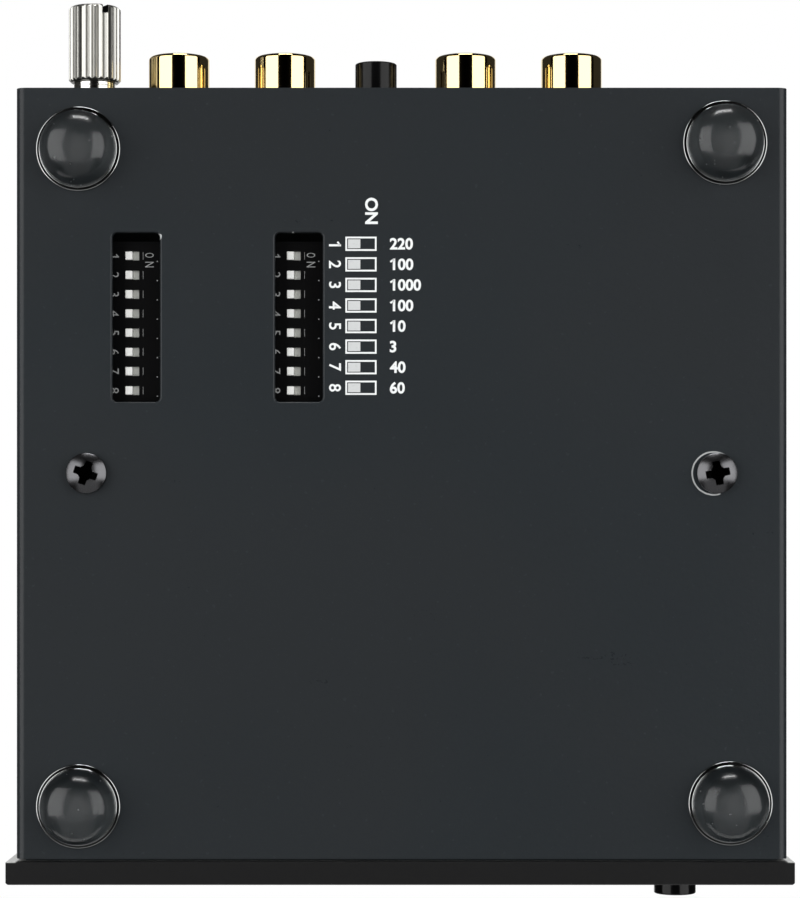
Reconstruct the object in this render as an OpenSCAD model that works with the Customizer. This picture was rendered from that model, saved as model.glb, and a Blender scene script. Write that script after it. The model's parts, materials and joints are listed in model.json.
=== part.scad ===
// Compact phono preamp: a folded steel case with a thick front panel, standing on stick-on feet.
// +Z is up, the front panel faces -Y and the sockets face +Y. The origin lies on the surface
// that the feet stand on, under the middle of the whole outline.

/* [Case] */
// Width of the folded case across its two sides
case_w = 101; // [99.5:0.5:120]
// Depth of the case, front edge to rear wall
case_l = 100.9; // [99:0.1:125]
// Height of the case without its feet
case_h = 30; // [29:0.5:40]
// Thickness of the steel sheet
sheet_t = 1; // [0.8:0.1:1.4]
// Inner radius of every fold
fold_in_r = 0.2; // [0.1:0.05:1]
// Gap between the upper shell and the lower shell
seam = 0.15; // [0.1:0.05:0.4]
// Depth of the turned-down side lips of the upper shell
lip_h = 5; // [3:0.5:8]

/* [Front panel] */
// Width of the front panel
panel_w = 103; // [102.5:0.5:125]
// Height of the front panel
panel_h = 32; // [31:0.5:45]
// Thickness of the front panel
panel_t = 3; // [2.6:0.1:4]
// Shadow gap between the lower shell and the back of the panel
panel_gap = 0.3; // [0.2:0.05:0.8]
// Broken edge round the face of the panel
panel_edge = 0.25; // [0.1:0.05:0.6]
// How far the panel and its screws sit off the middle of the case
panel_slip = 0.2; // [-0.2:0.05:0.2]

/* [Feet] */
// Diameter of a foot where it sticks to the case
foot_d = 11.1; // [9:0.1:13]
// Height of a foot
foot_h = 5; // [4.4:0.1:5.4]
// Diameter of the flat on a foot's tip
foot_tip_d = 3; // [2:0.25:4]
// Foot centre to the side of the case
foot_in_side = 8.15; // [7.85:0.05:10]
// Foot centre to the front edge of the case
foot_in_front = 7.1; // [6.9:0.1:12]
// Foot centre to the rear edge of the case
foot_in_rear = 7.65; // [7.4:0.05:10]

/* [Fasteners] */
// Thread diameter of the screws and studs
thread_d = 2.9; // [2.5:0.1:3]
// Head diameter of a case screw
head_d = 5.3; // [4.8:0.1:6]
// Head height of a case screw
head_h = 1.9; // [1.5:0.1:2.2]
// Case screw centre to the side of the case
screw_in_side = 9.3; // [8.75:0.05:11]
// Width across the flats of the board pillars
pillar_flats = 5.5; // [5:0.1:6]
// Panel screw centre to the edge of the case, across
panel_screw_in = 6.25; // [6:0.25:9]

/* [Circuit board] */
// Thickness of the board
board_t = 1.6; // [1:0.2:2.4]
// Gap between the board and each side of the case
board_side_gap = 1.25; // [0.8:0.05:3]
// Gap between the board and the front and rear walls
board_end_gap = 1; // [0.9:0.1:1.5]

/* [Switch banks] */
// Spacing of the levers in a bank
lever_pitch = 2.54; // [2.4:0.02:2.7]
// Travel of a lever
lever_travel = 0.8; // [0.6:0.05:1]
// Length of a lever's knob along its travel
knob_l = 0.95; // [0.8:0.05:1.1]
// Width of a lever's knob
knob_w = 1.1; // [0.9:0.05:1.2]
// How far a knob stands proud of the bank
knob_out = 0.3; // [0.1:0.05:0.6]
// Width of a bank's housing
bank_w = 9.9; // [8.5:0.1:11]
// Length of a bank's housing past its end levers
bank_end = 1.91; // [1.5:0.01:2.6]
// Height of a bank's housing, board to face
bank_h = 5.3; // [4.5:0.1:6.5]
// Depth of a bank's face behind the inside of the case
bank_recess = 2; // [1.7:0.1:3]
// Centre line of the outer bank to the side of the case
bank_in_side = 14.94; // [14.25:0.01:16]
// Spacing of the two banks
bank_spacing = 21.3; // [19:0.1:24]
// Middle of the banks to the rear edge of the case
bank_in_rear = 30.55; // [29:0.05:36]
// Width of a window over a bank
window_w = 6.25; // [5.5:0.05:7]
// Length of a window over a bank
window_l = 22.15; // [21.5:0.05:24]
// Corner radius of a window
window_r = 0.65; // [0.4:0.05:1.2]

/* [Signal sockets] */
// Outside diameter of a socket barrel
barrel_d = 8.3; // [8:0.05:8.6]
// Inside diameter of a socket barrel
barrel_in_d = 6.75; // [6.5:0.05:7]
// How far a barrel stands out of the rear wall
barrel_out = 6.9; // [6.5:0.1:9.5]
// Spacing of the two sockets of a pair
pair_pitch = 14.5; // [13.5:0.1:15.5]
// Middle of the input pair to the side of the case
input_in_side = 27.3; // [26.75:0.05:27.75]
// Middle of the input pair to the middle of the output pair
pairs_spacing = 39.2; // [38.5:0.1:40.5]
// Height of the socket axes above the board
socket_h = 6.5; // [6.2:0.1:8]
// Bore that takes a plug's centre pin
contact_d = 3.3; // [3.2:0.02:3.4]

/* [Ground terminal] */
// Diameter of the terminal's neck
neck_d = 5.7; // [5.4:0.1:6.4]
// Length of the neck outside the wall, washer included
neck_l = 3.4; // [3:0.1:5]
// Diameter of the knurled head
knurl_d = 7.1; // [6.5:0.05:8]
// Length of the knurled head
knurl_l = 10.3; // [8:0.1:12]
// Number of grooves round the knurled head
knurl_n = 26; // [18:1:30]
// Terminal axis to the side of the case
ground_in_side = 8.5; // [7.75:0.05:9.25]

/* [Push buttons] */
// Diameter of a button cap
button_d = 5.7; // [5:0.1:6.5]
// How far the front button stands out of the panel
power_out = 3.1; // [3:0.05:5]
// How far the rear button stands out of the wall
filter_out = 5.8; // [4:0.1:8]
// Travel of a button
button_travel = 2.8; // [2:0.1:3]
// Height of the button axes above the board
switch_h = 5.5; // [5:0.1:6.5]
// Front button axis to the side of the case
power_in_side = 13.2; // [12.25:0.05:14]
// Rear button axis to the side of the case
filter_in_side = 47; // [46.55:0.05:47.35]

/* [Power inlet and lamp] */
// Bore of the inlet
inlet_bore_d = 6.3; // [6:0.1:6.6]
// Diameter of the inlet's centre pin
inlet_pin_d = 2; // [1.9:0.05:2.1]
// Diameter of the power lamp
lamp_d = 3; // [2.5:0.1:3.2]
// Spacing of the power lamp from the front button
lamp_spacing = 8; // [7:0.5:10]

/* [Hidden] */
$fn = 64;

// Fits and clearances
thread_gap = 0.05;    // screw thread in its hole, on the radius
lever_gap = 0.05;     // bank lever in its slot, all round
hole_gap = 0.25;      // any piece through a case hole, on the radius
button_gap = 0.3;     // button cap in its holes, on the radius
insert_gap = 0.02;    // plastic insert in its barrel, on the radius
cut_over = 1;         // how far a cut runs past a face

// Case levels and edges
fold_out_r = fold_in_r + sheet_t;
case_z0 = foot_h;
case_z1 = case_z0 + case_h;
floor_z = case_z0 + sheet_t;
roof_z = case_z1 - sheet_t;
ground_out = neck_l + knurl_l;
whole_l = power_out + panel_t + panel_gap + case_l + ground_out;
panel_y0 = -whole_l / 2 + power_out;
panel_y1 = panel_y0 + panel_t;
case_y0 = panel_y1 + panel_gap;
case_y1 = case_y0 + case_l;
case_mid_y = (case_y0 + case_y1) / 2;
front_in_y = panel_y1 + sheet_t;
rear_in_y = case_y1 - sheet_t;
side_in_x = case_w / 2 - sheet_t;
upper_w = 2 * (side_in_x - seam);
upper_mid_y = (panel_y1 + case_y1) / 2;
wall_z0 = floor_z + seam;
lip_relief = 3;

// Board and what stands on it
face_z = floor_z + bank_recess;
board_z0 = face_z + bank_h;
board_z1 = board_z0 + board_t;
board_w = 2 * (side_in_x - board_side_gap);
board_y0 = front_in_y + board_end_gap;
board_y1 = rear_in_y - board_end_gap;
socket_z = board_z1 + socket_h;
switch_z = board_z1 + switch_h;
screw_x = case_w / 2 - screw_in_side;

// Screws and posts
panel_z0 = (case_z0 + case_z1 - panel_h) / 2;
panel_head_h = 1.8;
panel_head_gap = 0.85;
panel_screw_hold = 2;
panel_screw_room = 0.2;
wall_screw_xs = [panel_screw_in - case_w / 2, case_w / 2 - panel_screw_in];
panel_screw_xs = [for (x = wall_screw_xs) x + panel_slip];
panel_screw_zs = [
    floor_z + panel_head_gap + head_d / 2,
    roof_z - panel_head_gap - head_d / 2
];
case_screw_hold = 4;
case_screw_turn = 22;
stud_hold = 4;
tapped_room = 1.2;

// Feet: centre and the small slip that each has from being stuck on by hand
foot_x = case_w / 2 - foot_in_side;
foot_front_y = case_y0 + foot_in_front;
foot_rear_y = case_y1 - foot_in_rear;
foot_rim_t = 0.5;
foot_rim_w = 0.5;
slip_front_left = [-0.65, 0.18];
slip_front_right = [-0.05, -0.22];
slip_rear_left = [0.05, 0.42];
slip_rear_right = [-0.05, -0.38];

// Switch banks
levers = 8;
bank_l = (levers - 1) * lever_pitch + 2 * bank_end;
bank_y = case_y1 - bank_in_rear;
outer_bank_x = case_w / 2 - bank_in_side;
inner_bank_x = outer_bank_x - bank_spacing;
window_shift = [-0.8, 0.54];
bank_skin = 0.7;
plate_t = 0.6;
plate_over = 0.15;
plate_l = knob_l + 2 * (lever_travel + plate_over);
plate_w = knob_w + 0.5;
slot_l = knob_l + lever_travel + 2 * lever_gap;
slot_w = knob_w + 2 * lever_gap;

// Signal sockets
shoulder_w = 0.35;
shoulder_d = barrel_d + 2 * shoulder_w;
flange_w = 0.6;
flange_t = 0.8;
flange_d = shoulder_d + 2 * flange_w;
barrel_tail = 3;
barrel_tail_d = barrel_d - 0.4;
block_margin = 0.35;
block_w = flange_d + 2 * block_margin;
block_l = 8.5;
block_front_y = rear_in_y - flange_t;
socket_floor_y = block_front_y - barrel_tail;
insert_back = 0.7;
insert_lip = 1;
insert_mouth_d = contact_d + 0.2;
contact_t = 0.45;
contact_out_d = contact_d + 2 * contact_t;
contact_floor = 1;
tail_d = 1.6;
leg_t = 0.4;
pair_w = pair_pitch + block_w;
input_x = case_w / 2 - input_in_side;
output_x = input_x - pairs_spacing;
input_far_x = input_x + pair_pitch / 2;
input_near_x = input_x - pair_pitch / 2;
output_near_x = output_x + pair_pitch / 2;
output_far_x = output_x - pair_pitch / 2;

// Ground terminal
ground_x = case_w / 2 - ground_in_side;
washer_t = 0.6;
collar_l = neck_l - washer_t;
bush_thread_d = neck_d - 0.8;
bush_tail = 5;
nut_flats = bush_thread_d + 3;
nut_t = 2.5;
tag_t = 0.5;
tag_w = 3;
tag_foot = 2.5;
ground_shank = 7.8;
driver_slot_w = 0.8;
driver_slot_h = 1.2;
driver_slot_turn = 32;
knurl_depth = 0.26;
knurl_crest = 0.24;
knurl_edge = 0.35;

// Push switches
power_x = power_in_side - case_w / 2;
filter_x = case_w / 2 - filter_in_side;
switch_w = 8.5;
switch_l = 12;
switch_back = 6;
cap_inside = 1.6;
cap_edge = 0.5;
stem_w = 3.6;
stem_gap = 0.3;
stem_hold = 3.5;
stem_room = 1;

// Power inlet, midway between the output pair and the side of the case, and the lamp
inlet_x = (output_x - pair_w / 2 - side_in_x) / 2;
inlet_w = 9;
inlet_l = 13.5;
inlet_top = 4.5;
inlet_nose_d = inlet_bore_d + 1.7;
inlet_depth = 9.5;
inlet_pin_back = 0.6;
inlet_tail_d = inlet_pin_d - 0.6;
inlet_floor_y = case_y1 - inlet_depth;
spring_w = 2;
spring_t = 0.3;
spring_gap = 0.2;
spring_end = 2;
spring_y0 = inlet_floor_y + spring_gap;
spring_y1 = rear_in_y - spring_end;
spring_z = socket_z - inlet_bore_d / 2;
lamp_x = power_x + lamp_spacing;
lamp_out = 0.6;
lamp_rim = 0.4;
lamp_rim_t = 1;
lead_t = 0.5;
lead_back = 3;

// Parts on the board, placed from the middle of the case
pin_pitch = 2.54;
can_d = 8;
can_h = 11.5;
can_pitch = 10.5;
can_x0 = -24;
can_xs = [for (i = [0 : 5]) can_x0 + i * can_pitch];
can_y = -14;
film_size = [7.2, 3.5, 7.5];
film_xs = [-27, -17.5, 13, 22.5];
film_ys = [10, 18];
chip_size = [9.6, 6.4, 3.2];
chip_xs = [-22, 0, 18];
chip_y = 1;
regulator_tab = [10, 15.5, 1.3];
regulator_body = [10, 9, 3.2];
regulator_pitch = 12;
regulator_x0 = power_x + 13.5;
regulator_y = -36;
resistor_d = 2.3;
resistor_l = 6.3;
resistor_wire_out = 1.85;
resistor_x0 = case_w / 2 - 12.25;
resistor_pitch = [-12, 4];
resistor_y0 = -36;

// Finishes
case_black = [0.14, 0.15, 0.16];
panel_black = [0.1, 0.1, 0.11];
zinc = [0.72, 0.73, 0.75];
dark_nickel = [0.25, 0.25, 0.27];
clear_grey = [0.35, 0.36, 0.37];
board_green = [0.05, 0.3, 0.15];
moulded_black = [0.05, 0.05, 0.06];
moulded_white = [0.88, 0.9, 0.86];
moulded_red = [0.7, 0.08, 0.08];
gold = [0.83, 0.68, 0.35];
nickel = [0.8, 0.8, 0.78];
lamp_blue = [0.25, 0.45, 0.85];
can_blue = [0.1, 0.15, 0.35];
film_red = [0.6, 0.12, 0.1];
resistor_blue = [0.35, 0.6, 0.75];

// ---- shared shapes ----

// Draws an outline in the X-Z plane and runs it along Y.
module along_y(y_from, y_to) {
    translate([0, y_to, 0]) rotate([90, 0, 0]) linear_extrude(y_to - y_from) children();
}

// Draws an outline in the Y-Z plane and runs it along X.
module along_x(x_from, x_to) {
    translate([x_from, 0, 0]) rotate([90, 0, 90]) linear_extrude(x_to - x_from) children();
}

// Places a piece that is drawn upright so that its top points to the rear.
module facing_rear(x, y, z) {
    translate([x, y, z]) rotate([-90, 0, 0]) children();
}

// Places a piece that is drawn upright so that its top points to the front.
module facing_front(x, y, z) {
    translate([x, y, z]) rotate([90, 0, 0]) children();
}

// Round hole through the rear wall.
module rear_hole(x, z, d) {
    facing_rear(x, rear_in_y - cut_over, z) cylinder(h = sheet_t + 2 * cut_over, d = d);
}

// Round hole through the front wall.
module front_hole(x, z, d, y_from = panel_y1, y_to = front_in_y) {
    facing_rear(x, y_from - cut_over, z) cylinder(h = y_to - y_from + 2 * cut_over, d = d);
}

// Box given by its two opposite corners.
module block_between(low, high) {
    translate(low) cube(high - low);
}

// Rectangle with four round corners, centred.
module round_rect(w, h, r) {
    square([w - 2 * r, h], center = true);
    square([w, h - 2 * r], center = true);
    for (x = [-1, 1], y = [-1, 1])
        translate([x * (w / 2 - r), y * (h / 2 - r)]) circle(r);
}

// Block that stands on the X axis, with its two lower corners rounded.
module round_foot(w, h, r) {
    translate([-w / 2, r]) square([w, h - r]);
    translate([r - w / 2, 0]) square([w - 2 * r, h]);
    for (x = [-1, 1])
        translate([x * (w / 2 - r), r]) circle(r);
}

// Folded channel, open at the top, with its floor on the X axis.
module channel(w, h) {
    difference() {
        round_foot(w, h, fold_out_r);
        translate([0, sheet_t]) round_foot(w - 2 * sheet_t, h, fold_in_r);
    }
}

// The same channel, turned over so that its roof hangs from the X axis.
module turned_channel(w, h) {
    mirror([0, 1]) channel(w, h);
}

// Pan-head screw, drawn point up with its head below the origin.
module pan_screw(shank_l, d, h) {
    rim_h = 0.5 * h;
    crown_h = h - rim_h;
    crown_r = (d * d / 4 + crown_h * crown_h) / (2 * crown_h);
    recess_w = 0.9;
    recess_l = 3.2;
    recess_h = 1.1;
    difference() {
        intersection() {
            translate([0, 0, crown_r - h]) sphere(crown_r);
            translate([0, 0, -h]) cylinder(h = h, d = d);
        }
        for (turn = [0, 90])
            rotate([0, 0, turn])
                translate([-recess_l / 2, -recess_w / 2, -h - cut_over])
                    cube([recess_l, recess_w, recess_h + cut_over]);
    }
    cylinder(h = shank_l, d = thread_d);
}

// ---- case ----

module window(x) {
    translate([x + window_shift[0], bank_y + window_shift[1], case_z0 - cut_over])
        linear_extrude(sheet_t + 2 * cut_over) round_rect(window_w, window_l, window_r);
}

module lower_shell() {
    color(case_black)
    difference() {
        along_y(case_y0, case_y1) translate([0, case_z0]) channel(case_w, case_h);
        window(outer_bank_x);
        window(inner_bank_x);
        for (side = [-1, 1])
            translate([side * screw_x, case_mid_y, case_z0 - cut_over])
                cylinder(h = sheet_t + 2 * cut_over, d = thread_d + 2 * hole_gap);
    }
}

module upper_shell() {
    lip_y0 = panel_y1 + lip_relief;
    lip_y1 = case_y1 - lip_relief;
    strip_x = upper_w / 2 - fold_out_r;
    strip_w = fold_out_r + cut_over;
    color(case_black)
    difference() {
        intersection() {
            union() {
                difference() {
                    along_x(-upper_w / 2, upper_w / 2)
                        translate([upper_mid_y, case_z1])
                            turned_channel(case_y1 - panel_y1, case_z1 - wall_z0);
                    for (side = [-1, 1])
                        translate([side * (strip_x + strip_w / 2), (lip_y0 + lip_y1) / 2, roof_z])
                            cube([strip_w, lip_y1 - lip_y0, 3 * sheet_t], center = true);
                }
                along_y(lip_y0, lip_y1)
                    translate([0, case_z1]) turned_channel(upper_w, lip_h);
            }
            along_y(panel_y1 - cut_over, case_y1 + cut_over)
                translate([0, wall_z0]) round_foot(upper_w, case_h, fold_in_r);
        }
        for (x = [input_far_x, input_near_x, output_near_x, output_far_x])
            rear_hole(x, socket_z, shoulder_d + 2 * hole_gap);
        rear_hole(ground_x, socket_z, bush_thread_d + 2 * thread_gap);
        rear_hole(filter_x, switch_z, button_d + 2 * button_gap);
        rear_hole(inlet_x, socket_z, inlet_nose_d + 2 * hole_gap);
        front_hole(power_x, switch_z, button_d + 2 * button_gap);
        front_hole(lamp_x, switch_z, lamp_d + 2 * thread_gap);
        for (x = wall_screw_xs, z = panel_screw_zs)
            front_hole(x, z, thread_d + 2 * hole_gap);
    }
}

// ---- front panel ----

// Slab outline along the first axis, with the corners of its face broken.
module broken_face(w) {
    polygon([
        [panel_y1, -w / 2], [panel_y1, w / 2],
        [panel_y0 + panel_edge, w / 2], [panel_y0, w / 2 - panel_edge],
        [panel_y0, panel_edge - w / 2], [panel_y0 + panel_edge, -w / 2]
    ]);
}

module front_panel() {
    color(panel_black)
    difference() {
        translate([panel_slip, 0, 0]) intersection() {
            along_x(-panel_w / 2, panel_w / 2)
                translate([0, panel_z0 + panel_h / 2]) broken_face(panel_h);
            translate([0, 0, panel_z0])
                linear_extrude(panel_h) rotate(-90) mirror([1, 0]) broken_face(panel_w);
        }
        front_hole(power_x, switch_z, button_d + 2 * button_gap, panel_y0, panel_y1);
        front_hole(lamp_x, switch_z, lamp_d + 2 * thread_gap, panel_y0, panel_y1);
        for (x = panel_screw_xs, z = panel_screw_zs)
            facing_front(x, panel_y1 + cut_over, z)
                cylinder(
                    h = panel_screw_hold + panel_screw_room + cut_over,
                    d = thread_d + 2 * thread_gap
                );
    }
}

module panel_screws() {
    color(zinc)
    for (x = panel_screw_xs, z = panel_screw_zs)
        facing_front(x, front_in_y, z)
            pan_screw(sheet_t + panel_screw_hold, head_d, panel_head_h);
}

// ---- screws, standoffs and pillars that hold the board between the shells ----

module case_screws() {
    color(dark_nickel)
    for (side = [-1, 1])
        translate([side * screw_x, case_mid_y, case_z0])
            rotate([0, 0, side * case_screw_turn]) pan_screw(sheet_t + case_screw_hold, head_d, head_h);
}

module hex_post(h, flats) {
    cylinder(h = h, d = flats / cos(30), $fn = 6);
}

module board_standoffs() {
    color(zinc)
    for (side = [-1, 1])
        translate([side * screw_x, case_mid_y, floor_z]) {
            difference() {
                hex_post(board_z0 - floor_z, pillar_flats);
                translate([0, 0, -cut_over])
                    cylinder(
                        h = case_screw_hold + tapped_room + cut_over,
                        d = thread_d + 2 * thread_gap
                    );
            }
            translate([0, 0, board_z0 - floor_z]) cylinder(h = board_t + stud_hold, d = thread_d);
        }
}

module board_pillars() {
    color(zinc)
    for (side = [-1, 1])
        translate([side * screw_x, case_mid_y, board_z1])
            difference() {
                hex_post(roof_z - board_z1, pillar_flats);
                translate([0, 0, -cut_over])
                    cylinder(
                        h = stud_hold + tapped_room + cut_over,
                        d = thread_d + 2 * thread_gap
                    );
            }
}

// ---- feet ----

// Domed foot: part of a ball, flat at its tip, with a thin rim where it sticks to the case.
module foot(x, y, slip) {
    tip_r = foot_tip_d / 2;
    dome_r = foot_d / 2 - foot_rim_w;
    dome_h = foot_h - foot_rim_t;
    centre_z = (dome_r * dome_r - tip_r * tip_r + dome_h * dome_h) / (2 * dome_h);
    ball_r = sqrt(tip_r * tip_r + centre_z * centre_z);
    color(clear_grey)
    translate([x + slip[0], y + slip[1], 0]) {
        intersection() {
            translate([0, 0, centre_z]) sphere(ball_r);
            cylinder(h = foot_h, r = ball_r + cut_over);
        }
        translate([0, 0, dome_h]) cylinder(h = foot_rim_t, d = foot_d);
    }
}

// ---- circuit board ----

module circuit_board() {
    color(board_green)
    difference() {
        block_between([-board_w / 2, board_y0, board_z0], [board_w / 2, board_y1, board_z1]);
        for (side = [-1, 1])
            translate([side * screw_x, case_mid_y, board_z0 - cut_over])
                cylinder(h = board_t + 2 * cut_over, d = thread_d + 2 * hole_gap);
    }
}

// ---- switch banks ----

function lever_y(i) = bank_y + ((levers + 1) / 2 - i) * lever_pitch;

// Slot for one knob and the wider pocket behind it for the plate that the knob stands on.
module lever_pocket(x, y) {
    pocket_l = plate_l + lever_travel + 2 * lever_gap;
    pocket_w = plate_w + 2 * lever_gap;
    pocket_h = plate_t + 2 * lever_gap;
    translate([x - slot_l / 2, y - slot_w / 2, face_z - cut_over])
        cube([slot_l, slot_w, bank_skin + cut_over + lever_gap]);
    translate([x - pocket_l / 2, y - pocket_w / 2, face_z + bank_skin])
        cube([pocket_l, pocket_w, pocket_h]);
}

module bank_housing(x) {
    color(moulded_black)
    difference() {
        translate([x - bank_w / 2, bank_y - bank_l / 2, face_z]) cube([bank_w, bank_l, bank_h]);
        for (i = [1 : levers]) lever_pocket(x, lever_y(i));
    }
}

// A lever at its off end, towards +X. It slides towards -X.
module bank_lever(x, i) {
    knob_x = x + slot_l / 2 - lever_gap - knob_l / 2;
    knob_h = knob_out + bank_skin + lever_gap;
    color(moulded_white)
    translate([knob_x, lever_y(i), face_z - knob_out]) {
        translate([-knob_l / 2, -knob_w / 2, 0]) cube([knob_l, knob_w, knob_h]);
        translate([-plate_l / 2, -plate_w / 2, knob_h]) cube([plate_l, plate_w, plate_t]);
    }
}

// ---- signal sockets ----

// Moulded block on the board that holds one pair of sockets.
module socket_block(x) {
    top_z = socket_z + block_w / 2;
    color(moulded_black)
    difference() {
        block_between(
            [x - pair_w / 2, block_front_y - block_l, board_z1],
            [x + pair_w / 2, block_front_y, top_z]
        );
        for (side = [-1, 1])
            facing_rear(x + side * pair_pitch / 2, block_front_y - block_l, socket_z) {
                translate([0, 0, block_l - barrel_tail])
                    cylinder(h = barrel_tail + cut_over, d = barrel_tail_d + 2 * thread_gap);
                translate([0, 0, -cut_over])
                    cylinder(h = block_l + cut_over, d = tail_d + 2 * thread_gap);
            }
    }
}

// One step of a barrel: a ring that reaches from the bore out to the diameter d.
module barrel_ring(y_from, length, d) {
    translate([barrel_in_d / 2, y_from]) square([(d - barrel_in_d) / 2, length]);
}

// Turned and plated barrel: a tail in the block, a flange that seats behind the rear wall,
// a shoulder that fills the hole in the wall, and the barrel proper with its round rim.
module barrel(x) {
    flange_y = barrel_tail;
    shoulder_y = flange_y + flange_t;
    out_y = shoulder_y + sheet_t;
    rim_r = (barrel_d - barrel_in_d) / 4;
    rim_y = out_y + barrel_out - rim_r;
    color(gold)
    facing_rear(x, socket_floor_y, socket_z)
        rotate_extrude() {
            barrel_ring(0, flange_y, barrel_tail_d);
            barrel_ring(flange_y, flange_t, flange_d);
            barrel_ring(shoulder_y, sheet_t, shoulder_d);
            barrel_ring(out_y, barrel_out - rim_r, barrel_d);
            translate([barrel_in_d / 2 + rim_r, rim_y]) circle(rim_r);
        }
}

// Insulating insert with the round mouth for a plug's centre pin.
module insert(x) {
    length = case_y1 + barrel_out - insert_back - socket_floor_y;
    facing_rear(x, socket_floor_y, socket_z)
        difference() {
            cylinder(h = length, d = barrel_in_d - 2 * insert_gap);
            translate([0, 0, -cut_over])
                cylinder(h = length - insert_lip + cut_over, d = contact_out_d + 2 * insert_gap);
            cylinder(h = length + cut_over, d = insert_mouth_d);
        }
}

module white_inserts() {
    color(moulded_white) {
        insert(input_near_x);
        insert(output_near_x);
    }
}

module red_inserts() {
    color(moulded_red) {
        insert(input_far_x);
        insert(output_far_x);
    }
}

// Centre contact: a tube for the plug's pin, and a tail that turns down to the board.
module contact(x) {
    tube_l = case_y1 + barrel_out - insert_back - insert_lip - socket_floor_y;
    back_y = block_front_y - block_l;
    facing_rear(x, socket_floor_y, socket_z)
        difference() {
            cylinder(h = tube_l, d = contact_out_d);
            translate([0, 0, contact_floor]) cylinder(h = tube_l, d = contact_d);
        }
    facing_rear(x, back_y - leg_t, socket_z)
        cylinder(h = socket_floor_y - back_y + leg_t + contact_floor / 2, d = tail_d);
    block_between(
        [x - tail_d / 2, back_y - leg_t, board_z1],
        [x + tail_d / 2, back_y, socket_z]
    );
}

module centre_contacts() {
    color(gold)
    for (x = [input_far_x, input_near_x, output_near_x, output_far_x]) contact(x);
}

// ---- ground terminal ----

module ground_bush() {
    color(nickel)
    facing_rear(ground_x, rear_in_y - bush_tail, socket_z)
        difference() {
            union() {
                cylinder(h = bush_tail + sheet_t + collar_l, d = bush_thread_d);
                translate([0, 0, bush_tail + sheet_t]) cylinder(h = collar_l, d = neck_d);
            }
            translate([0, 0, -cut_over])
                cylinder(
                    h = bush_tail + sheet_t + collar_l + 2 * cut_over,
                    d = thread_d + 2 * thread_gap
                );
        }
}

// Solder tag behind the wall, turned forward onto the board.
module ground_tag() {
    ring_d = nut_flats;
    color(zinc) {
        difference() {
            union() {
                facing_rear(ground_x, rear_in_y - tag_t, socket_z)
                    cylinder(h = tag_t, d = ring_d);
                block_between(
                    [ground_x - tag_w / 2, rear_in_y - tag_t, board_z1],
                    [ground_x + tag_w / 2, rear_in_y, socket_z]
                );
            }
            facing_rear(ground_x, rear_in_y - tag_t - cut_over, socket_z)
                cylinder(h = tag_t + 2 * cut_over, d = bush_thread_d + 2 * thread_gap);
        }
        block_between(
            [ground_x - tag_w / 2, rear_in_y - tag_t - tag_foot, board_z1],
            [ground_x + tag_w / 2, rear_in_y, board_z1 + tag_t]
        );
    }
}

module ground_nut() {
    color(nickel)
    facing_rear(ground_x, rear_in_y - tag_t - nut_t, socket_z)
        difference() {
            hex_post(nut_t, nut_flats);
            translate([0, 0, -cut_over])
                cylinder(h = nut_t + 2 * cut_over, d = bush_thread_d + 2 * thread_gap);
        }
}

module ground_washer() {
    color(nickel)
    facing_rear(ground_x, case_y1 + collar_l, socket_z)
        difference() {
            cylinder(h = washer_t, d = neck_d);
            translate([0, 0, -cut_over])
                cylinder(h = washer_t + 2 * cut_over, d = thread_d + 2 * thread_gap);
        }
}

// Outline of the straight knurl: a narrow flat crest and a V groove for each tooth.
function knurl_outline(r, n) = [
    for (i = [0 : n - 1], p = [[-knurl_crest / 2, 0], [knurl_crest / 2, 0], [0.5, knurl_depth]])
        (r - p[1]) * [cos((i + p[0]) * 360 / n), sin((i + p[0]) * 360 / n)]
];

module ground_thumbscrew() {
    edge = knurl_edge;
    r = knurl_d / 2;
    color(nickel)
    facing_rear(ground_x, case_y1 + neck_l, socket_z) {
        difference() {
            intersection() {
                linear_extrude(knurl_l) polygon(knurl_outline(r, knurl_n));
                rotate_extrude()
                    polygon([
                        [0, 0], [r - edge, 0], [r, edge],
                        [r, knurl_l - edge], [r - edge, knurl_l], [0, knurl_l]
                    ]);
            }
            rotate([0, 0, driver_slot_turn])
                translate([0, 0, knurl_l - driver_slot_h + driver_slot_w / 2]) {
                    translate([-driver_slot_w / 2, -knurl_d, 0])
                        cube([driver_slot_w, 2 * knurl_d, driver_slot_h]);
                    rotate([90, 0, 0])
                        cylinder(h = 2 * knurl_d, d = driver_slot_w, center = true);
                }
        }
        translate([0, 0, -ground_shank]) cylinder(h = ground_shank, d = thread_d);
    }
}

// ---- push switches ----

// Switch body with its socket mouth at the origin, drawn upright and open at the top.
module switch_body() {
    color(moulded_black)
    difference() {
        union() {
            translate([0, 0, -switch_l / 2]) cube([switch_w, switch_w, switch_l], center = true);
            translate([-switch_w / 2, 0, -switch_l]) children();
        }
        translate([0, 0, -(stem_hold + button_travel + stem_room) / 2 + cut_over / 2])
            cube([
                stem_w + 2 * stem_gap, stem_w + 2 * stem_gap,
                stem_hold + button_travel + stem_room + cut_over
            ], center = true);
    }
}

// Button cap and the stem behind it, drawn upright with the wall's inner face at the origin.
module push_button(wall, out) {
    r = button_d / 2;
    length = cap_inside + wall + out;
    stem_l = switch_back - cap_inside + stem_hold;
    color(moulded_black) {
        translate([0, 0, -cap_inside])
            rotate_extrude() {
                square([r, length - cap_edge]);
                square([r - cap_edge, length]);
                translate([r - cap_edge, length - cap_edge]) circle(cap_edge);
            }
        translate([0, 0, -cap_inside - stem_l / 2]) cube([stem_w, stem_w, stem_l], center = true);
    }
}

module power_switch_body() {
    facing_front(power_x, front_in_y + switch_back, switch_z)
        switch_body() translate([0, -switch_h, 0]) cube([switch_w, switch_h, switch_l]);
}

module power_button() {
    facing_front(power_x, front_in_y, switch_z) push_button(sheet_t + panel_t, power_out);
}

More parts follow.
